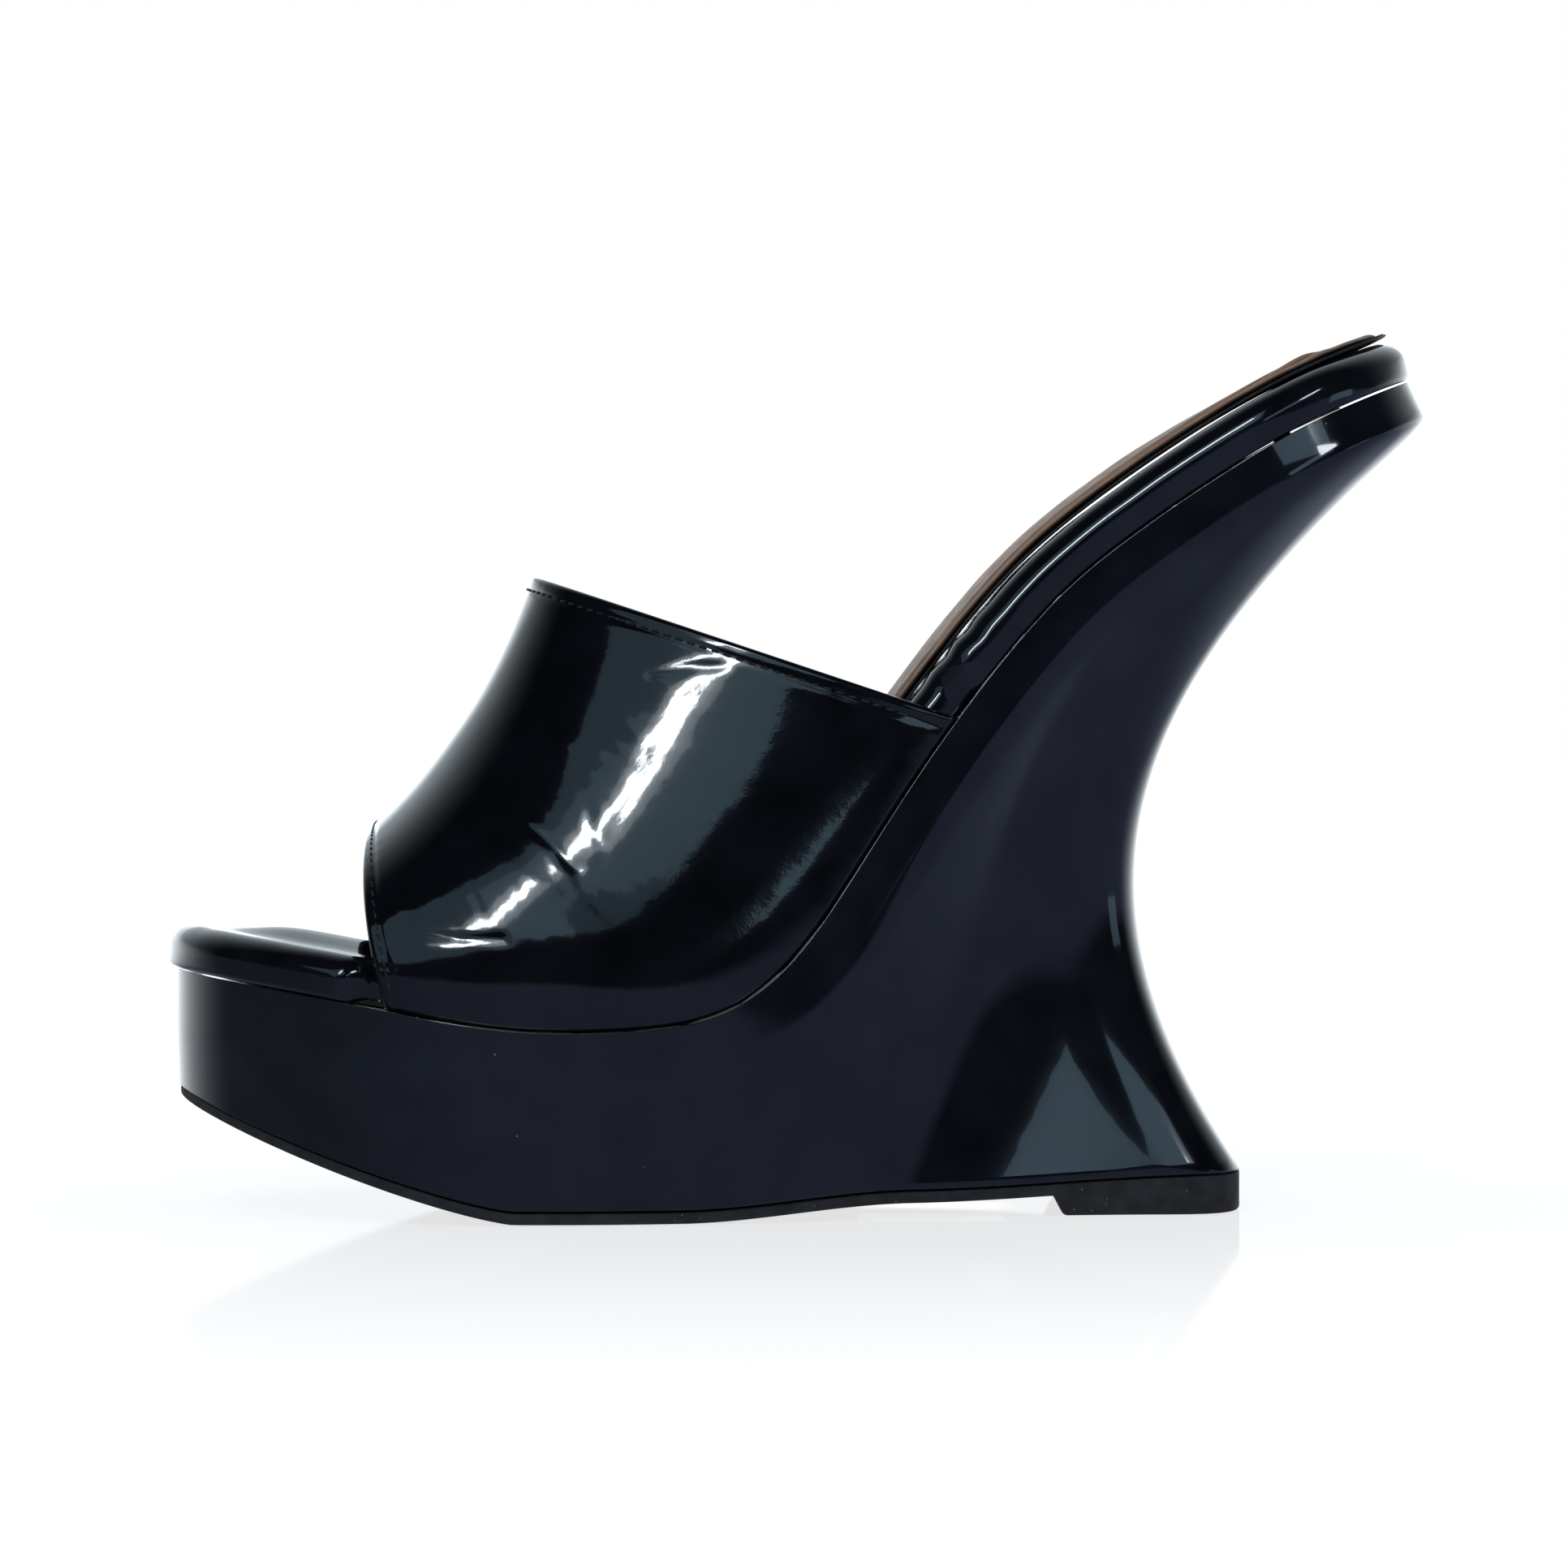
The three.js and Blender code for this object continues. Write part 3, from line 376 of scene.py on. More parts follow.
def node(tree, kind, links=None, **settings):
    """A node of a kind; links maps its inputs to outputs, settings its properties or values."""
    made = tree.nodes.new(kind)
    for key, value in settings.items():
        if hasattr(made, key):
            setattr(made, key, value)
        else:
            made.inputs[key.replace("_", " ")].default_value = value
    for key, output in (links or {}).items():
        tree.links.new(output, made.inputs[key])
    return made


def object_place(tree, stretch=(1, 1, 1)):
    """Object coordinates, stretched along the axes."""
    at = node(tree, "ShaderNodeTexCoord").outputs["Object"]
    return node(tree, "ShaderNodeMapping", {"Vector": at}, Scale=stretch).outputs["Vector"]


# %% Patterns
def noise(tree, at, size, detail=2.0, roughness=0.5):
    """Noise whose marks are about `size` millimetres across."""
    made = node(tree, "ShaderNodeTexNoise", {"Vector": at}, Scale=1000 / size, Detail=detail)
    made.inputs["Roughness"].default_value = roughness
    return made.outputs["Fac"]


def spread(tree, value, low, high, to_low=0.0, to_high=1.0):
    """Maps low..high to to_low..to_high and clips the rest."""
    made = node(tree, "ShaderNodeMapRange", {"Value": value})
    for key, number in zip(("From Min", "From Max", "To Min", "To Max"), (low, high, to_low, to_high)):
        made.inputs[key].default_value = number
    return made.outputs["Result"]


def blend_colours(tree, share, first, second):
    """first at share 0 and second at share 1; each is a colour or the output of another node."""
    made = node(tree, "ShaderNodeMix", {0: share}, data_type="RGBA")
    for socket, colour in ((made.inputs[6], first), (made.inputs[7], second)):
        if isinstance(colour, tuple):
            socket.default_value = (*colour, 1)
        else:
            tree.links.new(colour, socket)
    return made.outputs[2]


def bump(tree, height, depth, normal=None):
    """A bump of `depth` millimetres, on top of another one."""
    made = node(tree, "ShaderNodeBump", {"Height": height}, Distance=depth * MM, Strength=1.0)
    if normal is not None:
        tree.links.new(normal, made.inputs["Normal"])
    return made.outputs["Normal"]


def specks(tree, at, spacing, size, share):
    """1 on sparse round specks, 0 elsewhere: `spacing` and `size` in millimetres, and the share
    of the cells of a Voronoi pattern that hold one."""
    cells = node(tree, "ShaderNodeTexVoronoi", {"Vector": at}, Scale=1000 / spacing)
    near = spread(tree, cells.outputs["Distance"], size / spacing, 0.6 * size / spacing)
    luck = node(tree, "ShaderNodeSeparateColor", {"Color": cells.outputs["Color"]}).outputs[0]
    chosen = node(tree, "ShaderNodeMath", {0: luck}, operation="LESS_THAN")
    chosen.inputs[1].default_value = share
    both = node(tree, "ShaderNodeMath", {0: near, 1: chosen.outputs[0]}, operation="MULTIPLY")
    return both.outputs[0]


print("a mark of 2 mm needs a noise scale of", 1000 / 2)

# %% [markdown]
# ## Patent
# Patent leather is a black base under a thick clear coat. The base is nearly black with a cold
# tint, so what shows is the room: the coat is smooth, but it follows the slight waves of the
# material below, which makes the edges of reflections wander. A little dust lies on it.

# %% Patent materials
DUST_SPACING, DUST_SIZE, DUST_SHARE = 4.0, 0.16, 0.16
DUST_GREY = (0.16, 0.17, 0.19)
PEEL_SIZE, PEEL_DEPTH = 0.6, 0.0004
CLOUD_SIZE, CLOUD_GAIN = 9.0, 1.9
CLEAN_ROUGHNESS, DUSTY_ROUGHNESS = 0.1, 0.6


def patent(name, base, wave_size, wave_depth, creases=0.0):
    """A black base under a clear coat. Both follow long waves, finer creases where asked for, and
    a slight peel. The base is a little lighter in clouds, and dust is grey and dull."""
    made, tree, shader = new_material(
        name, CLEAN_ROUGHNESS, IOR=1.5, Specular_IOR_Level=0.5,
        Coat_Weight=1.0, Coat_Roughness=0.025, Coat_IOR=1.5)
    at = object_place(tree)
    surface = bump(tree, noise(tree, at, wave_size, 1.0), wave_depth)
    if creases:
        surface = bump(tree, noise(tree, at, wave_size / 3.5, 4.0, 0.62), creases, surface)
    surface = bump(tree, noise(tree, at, PEEL_SIZE, 0.0), PEEL_DEPTH, surface)
    for socket in ("Normal", "Coat Normal"):
        tree.links.new(surface, shader.inputs[socket])
    clouds = spread(tree, noise(tree, at, CLOUD_SIZE, 3.0), 0.35, 0.7)
    body = blend_colours(tree, clouds, base, tuple(channel * CLOUD_GAIN for channel in base))
    dusty = specks(tree, at, DUST_SPACING, DUST_SIZE, DUST_SHARE)
    tree.links.new(blend_colours(tree, dusty, body, DUST_GREY), shader.inputs["Base Color"])
    rough = spread(tree, dusty, 0, 1, CLEAN_ROUGHNESS, DUSTY_ROUGHNESS)
    tree.links.new(rough, shader.inputs["Roughness"])
    return made


COVER_PATENT = patent("wedge_patent", (0.0035, 0.0042, 0.0065), 9.0, 0.035)
RIM_PATENT = patent("rim_patent", (0.003, 0.0036, 0.0055), 6.0, 0.03, creases=0.006)
VAMP_PATENT = patent("vamp_patent", (0.0025, 0.003, 0.0045), 7.0, 0.03, creases=0.01)
print("patents:", COVER_PATENT.name, RIM_PATENT.name, VAMP_PATENT.name)

# %% [markdown]
# ## Leather, rubber, thread and the inner materials
# The sock is a tan leatherette with a fine pebble grain. The outsole is matt rubber with light
# specks in it. The inner pieces hardly show, but each still has its own finish.

# %% Grained finishes
def grained(name, first, second, grain, depth, roughness, patch=7.0, **sockets):
    """A leathery finish: two colours in soft patches, and cells of `grain` millimetres."""
    made, tree, shader = new_material(name, roughness, **sockets)
    at = object_place(tree)
    patches = spread(tree, noise(tree, at, patch, 4.0, 0.6), 0.3, 0.7)
    tree.links.new(blend_colours(tree, patches, first, second), shader.inputs["Base Color"])
    cells = node(tree, "ShaderNodeTexVoronoi", {"Vector": at}, Scale=1000 / grain, feature="SMOOTH_F1")
    surface = bump(tree, cells.outputs["Distance"], depth)
    tree.links.new(surface, shader.inputs["Normal"])
    smooth, dull = roughness * 0.85, min(1, roughness * 1.15)
    rough = spread(tree, noise(tree, at, grain * 4, 3.0), 0.3, 0.7, smooth, dull)
    tree.links.new(rough, shader.inputs["Roughness"])
    return made


# Painted shade: this brown is laid into the tan face where its edge and its grooves lie in shade
PAINTED_SHADE_BROWN = (0.012, 0.006, 0.004)


def leather_with_painted_shade(name):
    """The tan grain, with painted shade: a dark brown laid over it along the lines that the mesh marks."""
    made = grained(name, (0.34, 0.17, 0.09), (0.44, 0.235, 0.13), 0.55, 0.03, 0.45)
    tree = made.node_tree
    colour = tree.nodes["Principled BSDF"].inputs["Base Color"]
    leather = colour.links[0].from_socket
    marks = node(tree, "ShaderNodeAttribute", attribute_name="marks").outputs["Fac"]
    tree.links.new(blend_colours(tree, marks, leather, PAINTED_SHADE_BROWN), colour)
    return made


# %% Rubber and metal
def speckled_rubber(name):
    """Matt black rubber in two soft tones, with light flecks in it and a finely rough skin."""
    made, tree, shader = new_material(name, 0.75, Specular_IOR_Level=0.4)
    at = object_place(tree)
    tones = spread(tree, noise(tree, at, 3.0, 5.0), 0.3, 0.7)
    body = blend_colours(tree, tones, (0.012, 0.013, 0.016), (0.024, 0.026, 0.031))
    flecks = specks(tree, at, 1.3, 0.16, 0.3)
    tree.links.new(blend_colours(tree, flecks, body, (0.12, 0.13, 0.14)), shader.inputs["Base Color"])
    surface = bump(tree, noise(tree, at, 0.5, 6.0, 0.7), 0.05)
    tree.links.new(surface, shader.inputs["Normal"])
    tree.links.new(spread(tree, noise(tree, at, 5.0, 3.0), 0.3, 0.7, 0.6, 0.85), shader.inputs["Roughness"])
    return made


def plain_metal(name):
    """Steel with streaks that run along X, in its colour and in its roughness."""
    made, tree, shader = new_material(name, 0.3, Metallic=1.0)
    streaks = noise(tree, object_place(tree, (1, 12, 12)), 4.0, 5.0)
    colour = blend_colours(tree, streaks, (0.42, 0.43, 0.45), (0.62, 0.62, 0.64))
    tree.links.new(colour, shader.inputs["Base Color"])
    tree.links.new(spread(tree, streaks, 0.3, 0.7, 0.22, 0.45), shader.inputs["Roughness"])
    return made


# %% Finishes by name
SOCK_FACE = leather_with_painted_shade("tan_sock")
SOCK_EDGE_MATERIAL = grained("black_sock_edge", (0.008, 0.008, 0.009), (0.02, 0.02, 0.022), 0.3, 0.05, 0.6)
LINING = grained("black_lining", (0.008, 0.008, 0.01), (0.018, 0.018, 0.021), 0.7, 0.05, 0.55)
INTERLINING = grained("interlining_cloth", (0.03, 0.03, 0.032), (0.05, 0.05, 0.053), 0.4, 0.06, 0.9, 2.0)
RUBBER = speckled_rubber("sole_rubber")
THREAD = grained("black_thread", (0.005, 0.005, 0.006), (0.014, 0.014, 0.016), 0.25, 0.08, 0.45, 1.0)
TAN_THREAD = grained("tan_thread", (0.2, 0.1, 0.05), (0.32, 0.18, 0.1), 0.25, 0.08, 0.5, 1.0)
STEEL = plain_metal("plain_steel")
FOAM = grained("soft_foam", (0.7, 0.64, 0.5), (0.8, 0.75, 0.62), 0.5, 0.12, 0.95)
BOARD = grained("pressed_fibre", (0.3, 0.2, 0.12), (0.42, 0.3, 0.19), 0.9, 0.05, 0.85, 3.0)
PLASTIC = grained("moulded_core", (0.5, 0.48, 0.42), (0.58, 0.56, 0.5), 1.2, 0.02, 0.55, 12.0)
FILLER = grained("cork_filler", (0.32, 0.2, 0.1), (0.55, 0.4, 0.24), 1.6, 0.15, 0.9, 2.2)
PAPER = grained("blank_paper", (0.62, 0.66, 0.62), (0.72, 0.75, 0.7), 0.3, 0.015, 0.65, 5.0)
print(len(bpy.data.materials), "materials")

# %% [markdown]
# ## Inner pieces
# The moulded core, the boards, the shank and the nails keep their CAD meshes. They only take the
# finish of what they are made of.

# %% Finishes of the carried-over nodes
STEEL_NODES = ["shank", "shank_rivet_front", "shank_rivet_rear", "heel_screw"]
STEEL_NODES += [f"heel_nail_{number}" for number in range(1, 5)]
CARRIED = {
    "wedge_core": PLASTIC,
    "bottom_filler": FILLER,
    "insole_board": BOARD,
    "footbed_foam": FOAM,
    "size_label": PAPER,
    **{name: STEEL for name in STEEL_NODES},
}
for name, material in CARRIED.items():
    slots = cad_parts[name].data.materials
    slots.clear()
    slots.append(material)
print("carried over:", ", ".join(CARRIED))

# %% [markdown]
# ## Wedge cover
# The cover is one sheet of patent drawn over the moulded wedge. A lofted box with bevels could
# give the outline, but not the side: a flat band runs under the footbed, its lower edge turns in
# sharply, and from there the side is hollow down to the sole. So the cover is a grid. Each
# column is a line down the side, made of the band, a short turn and a long curve, and the
# hollow fades out towards the platform, where the wall is straight.

# %% Wedge sizes
BAND_HEIGHT, BAND_CORNER, LIP_DROP = 7.3, 1.3, 1.7
BAND_DRAFT = 0.55  # the band leans out by this much from its top to its lower edge
BAND_TURN_FROM, BAND_TURN_TO = 0.12, 0.37
LIP_REAR, LIP_SIDE = 4.3, 1.8
SCOOP_REAR, SCOOP_SIDE, SCOOP_HEIGHT = 54.0, 14.0, 0.5
SCOOP_FROM, SCOOP_TO = 0.37, 0.68
HOLLOW_TO = 0.96
SOLE_LENGTH, SOLE_SETBACK, TOE_LIFT, TOE_LIFT_POWER = 174.0, 0.3, 18.2, 1.26
CONTACT_FROM, CONTACT_TO = 0.325, 0.48
WAIST_LIFT, WAIST_TO, HEEL_SEAT_RISE = 2.4, 0.69, 2.0
LEAN_FROM, LEAN_POWER, LEAN_SOFT = 0.45, 1.5, 0.06
GAP = 0.3
OUTSOLE_THICKNESS, OUTSOLE_INSET = 1.9, 0.5
COVER_WALL = 0.8
TUCK_ROWS = ((8.0, 0.1), (4.0, 0), (1.2, 0), (0.15, 0), (0.02, 0))  # inset, drop, under the footbed
BAND_ROWS = (0.02, 0.12, 0.5, 1.2, 2.2, 3.6, 5.0)  # drop below the top face
FLANK_FROM, FLANK_TO, FLANK_END, FLANK_ROWS = 0.05, 0.985, 0.997, 52
UNDER_ROWS = (0.25, 1.2)  # inset under the wedge
print("flat band", BAND_HEIGHT, "mm high, cover", COVER_WALL, "mm thick")


# %% Foot of the wedge
def sole_share(top_share):
    """Share of the sole's length under a share of the top face: straight below at the toe, then
    drawn forward by past^1.5, softened where it begins."""
    straight = SHOE_LENGTH / SOLE_LENGTH
    past = (top_share - LEAN_FROM) / (1 - LEAN_FROM)
    soft = (past + np.sqrt(past**2 + LEAN_SOFT**2)) / 2
    end = (1 + math.sqrt(1 + LEAN_SOFT**2)) / 2
    return straight * top_share - (straight - 1) * (soft / end) ** LEAN_POWER


def sole_lift(share):
    """Clearance between the ground and the outsole, without the heel block."""
    toe = np.clip(1 - share / CONTACT_FROM, 0, 1) ** TOE_LIFT_POWER
    waist = WAIST_LIFT * smoothstep(share, CONTACT_TO, WAIST_TO)
    return TOE_LIFT * toe + waist + HEEL_SEAT_RISE * smoothstep(share, WAIST_TO, 1)


def sole_half_width(share, side):
    """The side's width at a share of the foot's length, times the two round ends."""
    length = SOLE_LENGTH - SOLE_SETBACK
    ends = round_end(share * length, TOE_REACH, TOE_POWER)
    ends = ends * round_end((1 - share) * length, HEEL_REACH, HEEL_POWER)
    return pick(side, SOLE_WIDTH, share) * ends


def sole_place(share, side):
    """x and y of the edge of the wedge's foot."""
    length = SOLE_LENGTH - SOLE_SETBACK
    y = swing(share * length / SPINE_LENGTH) + side * sole_half_width(share, side)
    return SOLE_SETBACK + share * length, y


def bezier(corners, shares):
    """Points of the Bezier curve over four arrays of corners, one row for each share t:
    (1-t)^3 a + 3 (1-t)^2 t b + 3 (1-t) t^2 c + t^3 d."""
    t = np.asarray(shares, float)[:, None, None]
    a, b, c, d = corners
    return (1 - t) ** 3 * a + 3 * (1 - t) ** 2 * t * b + 3 * (1 - t) * t**2 * c + t**3 * d


heel_width = sum(float(sole_half_width(0.9, side)) for side in (OUTER, INNER))
print("foot of the wedge:", round(heel_width, 1), "mm wide at 0.9 of its length")


# %% Wedge cover
def wedge_rows():
    """Rows of the cover from its edge under the footbed to its edge over the outsole. The flank is
    a Bezier curve from the crease under the band to the foot; its two middle corners are on the
    straight line at the platform, and drawn in towards `hollow` further back."""
    along, up = directions(RING_S)
    out = along * OUT_S[:, None] + np.array([0, 1, 0]) * OUT_Y[:, None]
    turn = smoothstep(RING_SHARE, BAND_TURN_FROM, BAND_TURN_TO)[:, None]
    rise = mix(np.array([0, 0, 1]), up, turn)
    lean = ease(RING_SHARE, SCOOP_FROM, HOLLOW_TO)[:, None]
    standing = ease(RING_SHARE, SCOOP_FROM + 0.04, SCOOP_TO)[:, None]
    lip = standing[:, 0] * np.array([LIP_REAR, LIP_SIDE])[:, None] * np.array([OUT_S, OUT_Y])

    top = place(RING_S, RING_Y, 0)
    edge = top - rise * BAND_HEIGHT
    crease = edge - rise * LIP_DROP - along * lip[0][:, None]
    crease[:, 1] -= lip[1]
    share = sole_share(top[:, 0] / SHOE_LENGTH)
    x, y = sole_place(share, RING_SIDE)
    foot = np.stack([x, y, sole_lift(share) + OUTSOLE_THICKNESS + GAP], -1)

    hollow = mix(crease, foot, 0.5)
    hollow[:, 0] -= SCOOP_REAR * np.clip((RING_SHARE - SCOOP_FROM) / (1 - SCOOP_FROM), 0, 1)
    hollow[:, 1] -= OUT_Y * SCOOP_SIDE
    hollow[:, 2] = mix(foot[:, 2], crease[:, 2], SCOOP_HEIGHT)
    high = mix(mix(crease, foot, 1 / 3), mix(crease, hollow, 0.7), lean)
    low = mix(mix(crease, foot, 2 / 3), mix(foot, hollow, 0.75), lean)

    flank = bezier((crease, high, low, foot), np.r_[np.linspace(FLANK_FROM, FLANK_TO, FLANK_ROWS), FLANK_END])
    turn_corners = edge + rise * BAND_CORNER, edge + rise * 0.1, crease, flank[0]
    corner = bezier(turn_corners, np.linspace(0, 1, 9)[:-1])
    draft = BAND_DRAFT * standing
    tucked = [top - out * (draft + inset) - rise * drop for inset, drop in TUCK_ROWS]
    band = [top - rise * drop - out * draft * (1 - drop / BAND_HEIGHT) for drop in BAND_ROWS]
    under = [foot - out * [[1, 1, 0]] * inset for inset in UNDER_ROWS]
    return np.stack([*tucked, *band, *corner, *flank, *under])


rows = wedge_rows()
piece(
    "wedge_skin", rows, quads(*rows.shape[:2], closed=True)[:, ::-1], COVER_PATENT,
    ["wedge_cover"], COVER_WALL)

# %% [markdown]
# ## Padded footbed
# The footbed is a board with foam on it, wrapped in patent: a long closed pad with a round edge,
# which swells where the toes rest. A box with a bevel would have an even edge all round, so the
# pad is built from closed loops instead. Each loop runs under the pad, round the outer edge,
# over the top and back, and at the toe and the heel the loops close to a line. The pad is thin
# and pressed flat on a board, so its swelling is a formula and not a simulation.

# %% Layers and edge of the footbed
WRAP_WALL, BOARD_THICKNESS, FOAM_THICKNESS = 0.8, 1.8, 1.8
VAMP_OUTER_WALL, VAMP_INTERLINING_WALL, VAMP_LINING_WALL = 0.9, 0.3, 0.7
VAMP_FROM, VAMP_TO = 37.0, 151.0
VAMP_STACK = VAMP_OUTER_WALL + VAMP_INTERLINING_WALL + VAMP_LINING_WALL + 2 * GAP
MARGIN_N = GAP
WRAP_N = MARGIN_N + VAMP_OUTER_WALL + GAP
RIM_N = WRAP_N + WRAP_WALL + GAP + BOARD_THICKNESS + GAP + FOAM_THICKNESS + GAP + WRAP_WALL
RIM_ROUND, RIM_BULGE = 3.9, 0.45
FOOT_ROUND = 0.9  # the small round at the pad's lower edge
UNDER_INSETS = (9.0, 5.0, 2.4, 1.2)  # rows of the turned-under margin
UNDERSIDE = 5.0  # rows this deep or deeper take no bulge and no sway
TOE_CROWN = 2.2
TOE_INSET, HEEL_INSET = -1.3, 0.1


def under_vamp(s, before=2.0, run=6.0):
    """1 where the vamp runs down beside the footbed, 0 ahead of and behind it."""
    front, rear = VAMP_FROM - before, VAMP_TO + before
    return ease(s, front - run, front) * (1 - ease(s, rear, rear + run))


def footbed_inset(s):
    """How far the pad's edge lies inside the top face: given at the toe and the heel, and by the vamp's
    layers between."""
    open_part = mix(TOE_INSET, HEEL_INSET, smoothstep(s / SPINE_LENGTH, 0.1, 0.8))
    return mix(open_part, VAMP_STACK + 0.6, under_vamp(s))


RIM_INSET = footbed_inset(RING_S)
RIM_FOOT = mix(MARGIN_N, WRAP_N, under_vamp(RING_S, before=-5.0))
print("pad", round(RIM_N - MARGIN_N, 1), "mm thick at its edge, up to", TOE_CROWN, "mm more at the toe")


# %% Section of the rim
def rim_profile():
    """Rows of (depth inside the edge, height) up the side of the pad: the turned-under margin, a
    small round, a side that bulges a little, and a quarter turn over the top edge."""
    under = np.array(UNDER_INSETS)
    small = np.linspace(0, np.pi / 2, 6)
    big = np.linspace(0, np.pi / 2, 16)[1:]
    rise = np.linspace(0, 1, 6)[1:]
    side_top, side_low = RIM_N - RIM_ROUND, RIM_FOOT + FOOT_ROUND
    depth = np.r_[under, FOOT_ROUND * (1 - np.sin(small)), 0 * rise, RIM_ROUND * (1 - np.cos(big))]
    climb = np.r_[under * 0, FOOT_ROUND * (1 - np.cos(small))]
    heights = [RIM_FOOT + c for c in climb]
    heights += [mix(side_low, side_top, share) for share in rise]
    heights += [np.full_like(RIM_FOOT, side_top + RIM_ROUND * math.sin(angle)) for angle in big]
    heights = np.stack(heights)
    share = np.clip((heights - RIM_FOOT) / (RIM_N - RIM_FOOT), 0, 1)
    depth = depth[:, None]
    return depth - RIM_BULGE * np.sin(np.pi * share) * (depth < UNDERSIDE), heights


def gathers(s, y):
    """Soft folds in the wrap where it comes out from under the vamp's rear foot."""
    near = bell(s - VAMP_TO - 8, 7)
    return near * np.sin((s - VAMP_TO) * 1.1 + 0.08 * y) * 0.22


def crown(s, across):
    """The toe's swelling; across is 0 on the centre line and 1 at the round edge."""
    sunk = smoothstep(s, VAMP_FROM - 2, VAMP_FROM + 10)
    return TOE_CROWN * ease(1 - across, 0, 0.42) * ease(s, 2, 24) * (1 - sunk)


print("rows up the rim:", len(rim_profile()[0]))


# %% Footbed pad
def pad_loops(strips=30):
    """Closed loops, one for each station: up one side, over the top, down the other side, and
    back underneath."""
    depth, height = rim_profile()
    waves = 0.06 * ripples(RING_S, RING_Y, 26, 5) + 0.03 * ripples(RING_S, RING_Y, 9, 6)
    upper = ease(height, RIM_FOOT + 1, RIM_N - RIM_ROUND / 2)
    height = height + (gathers(RING_S, RING_Y) + waves) * upper
    sway = 0.14 * ripples(RING_S, RING_Y, 20, 7) * ease(height, RIM_FOOT, RIM_FOOT + 3)
    inset = RIM_INSET + depth + sway * ease(UNDERSIDE - depth, 0, 2)
    side = place(RING_S - OUT_S * inset, RING_Y - OUT_Y * inset, height)
    outer = side[:, :COLUMNS + 1]
    inner = np.concatenate([side[:, :1], side[:, :COLUMNS - 1:-1]], axis=1)
    edge_s, edge_y = RING_S - OUT_S * inset[-1], RING_Y - OUT_Y * inset[-1]
    outer_at = edge_s[:COLUMNS + 1], edge_y[:COLUMNS + 1], height[-1][:COLUMNS + 1]
    inner_at = [np.r_[a[:1], a[:COLUMNS - 1:-1]] for a in (edge_s, edge_y, height[-1])]
    share = (1 - np.cos(np.linspace(0, np.pi, strips + 1)[1:-1])) / 2
    s, y, n = (mix(a, b, share[:, None]) for a, b in zip(outer_at, inner_at))
    top = place(s, y, n + crown(s, np.abs(2 * share[:, None] - 1)))
    below = mix(inner[0], outer[0], share[:, None, None])
    return np.concatenate([outer, top, inner[::-1], below]).swapaxes(0, 1)


loops = pad_loops()
footbed = piece(
    "footbed_pad", loops, quads(*loops.shape[:2], closed=True)[:, ::-1], RIM_PATENT,
    ["footbed_wrap"])

# %% [markdown]
# ## Sock
# Inside lies the sock: a thin black backing whose cut edge stands a little proud of the pad, and
# on it the tan face, with a low cushion between them. The face is sewn down in lines that follow
# its edge, and each seam pulls a groove. A sheet with a height formula shows all of that; only
# the stitches are pieces of their own.

# %% Outline of the sock
CROWN_FADE = 12.0
SOCK_FROM = VAMP_FROM + CROWN_FADE
SOCK_MARGIN = 1.6  # between the pad's round edge and the sock
SOCK_EDGE_INSET = 3.4 + SOCK_MARGIN
SOCK_BACKING, SOCK_LEATHER, TAN_INSET = 0.5, 0.6, 1.3
SOCK_N = RIM_N + GAP
TAN_N = SOCK_N + SOCK_BACKING + GAP
CUSHION_HALF, CUSHION_THICKNESS, CUSHION_EDGE = 13.0, 0.8, 0.3
CUSHION_FROM, CUSHION_TO, CUSHION_FADE = SOCK_FROM + 22, SPINE_LENGTH - 24, 25
TENT_BESIDE, TENT_BEYOND, TENT_SLOPE = 2.0, 8.0, 5.0
GROOVES = (2.6, 5.4)  # seams this far inside the face's edge
GROOVE_DEPTH, GROOVE_WIDTH, PUFF = 0.4, 0.45, 0.3
# Painted shade along the face's edge, the two seam grooves and a line 7.4 mm in, laid into the leather's
# colour
PAINTED_SHADE_LINES, PAINTED_SHADE_WIDTH = (0.0, *GROOVES, 7.4), 0.42  # drawn darker in the leather


def sock_span(inset):
    """Where the sock starts and ends along the spine, `inset` inside its edge."""
    return SOCK_FROM + inset, SPINE_LENGTH - HEEL_INSET - SOCK_MARGIN - inset


def sock_half(s, side, inset):
    """Half-width of the sock, as in the CAD: the footbed's width less its round edge, rounded at
    both ends."""
    start, end = sock_span(inset)
    ends = round_end(s - start, 20, 2.2) * round_end(end - s, SEAT_REACH - SOCK_EDGE_INSET, SEAT_POWER)
    wide = top_half_width(np.clip(s, TOE_REACH, SPINE_LENGTH - SEAT_REACH), side)
    return side * np.maximum(0, wide - footbed_inset(s) - SOCK_EDGE_INSET - inset) * ends


def sock_stations(inset, steps):
    """Lengths that lie evenly along the sock's outer edge."""
    start, end = sock_span(inset)
    return start + even_stations(steps, end - start, lambda t: sock_half(start + t, OUTER, inset) * -1)


print("sock from", SOCK_FROM, "to", round(sock_span(0.0)[1], 1), "mm")


# %% Grid over the sock
def inside_sock(s, y, inset, step=0.25, deepest=12.0):
    """Distance inside the sock's edge: between two of its narrower outlines, how far y lies from
    the wider to the next one; 12 mm and more count as 12."""
    side = np.where(y < 0, OUTER, INNER)
    total = np.zeros_like(s)
    for deep in np.arange(0, deepest, step):
        wider, next_one = (np.abs(sock_half(s, side, inset + d)) for d in (deep, deep + step))
        total += step * np.clip((wider - np.abs(y)) / np.maximum(wider - next_one, 1e-6), 0, 1)
    return total


def sock_sheet(inset, height, steps=260, strips=48):
    """A grid over the sock, `inset` inside its edge; height is a function of s, y and the
    distance from the edge."""
    share = (1 - np.cos(np.linspace(0, np.pi, strips + 1))) / 2
    s, share = np.broadcast_arrays(sock_stations(inset, steps)[:, None], share[None, :])
    low, high = sock_half(s, np.full(s.shape, OUTER), inset), sock_half(s, np.full(s.shape, INNER), inset)
    y = mix(low, high, share)
    inside = inside_sock(s, y, inset)
    return place(s, y, height(s, y, inside)), inside


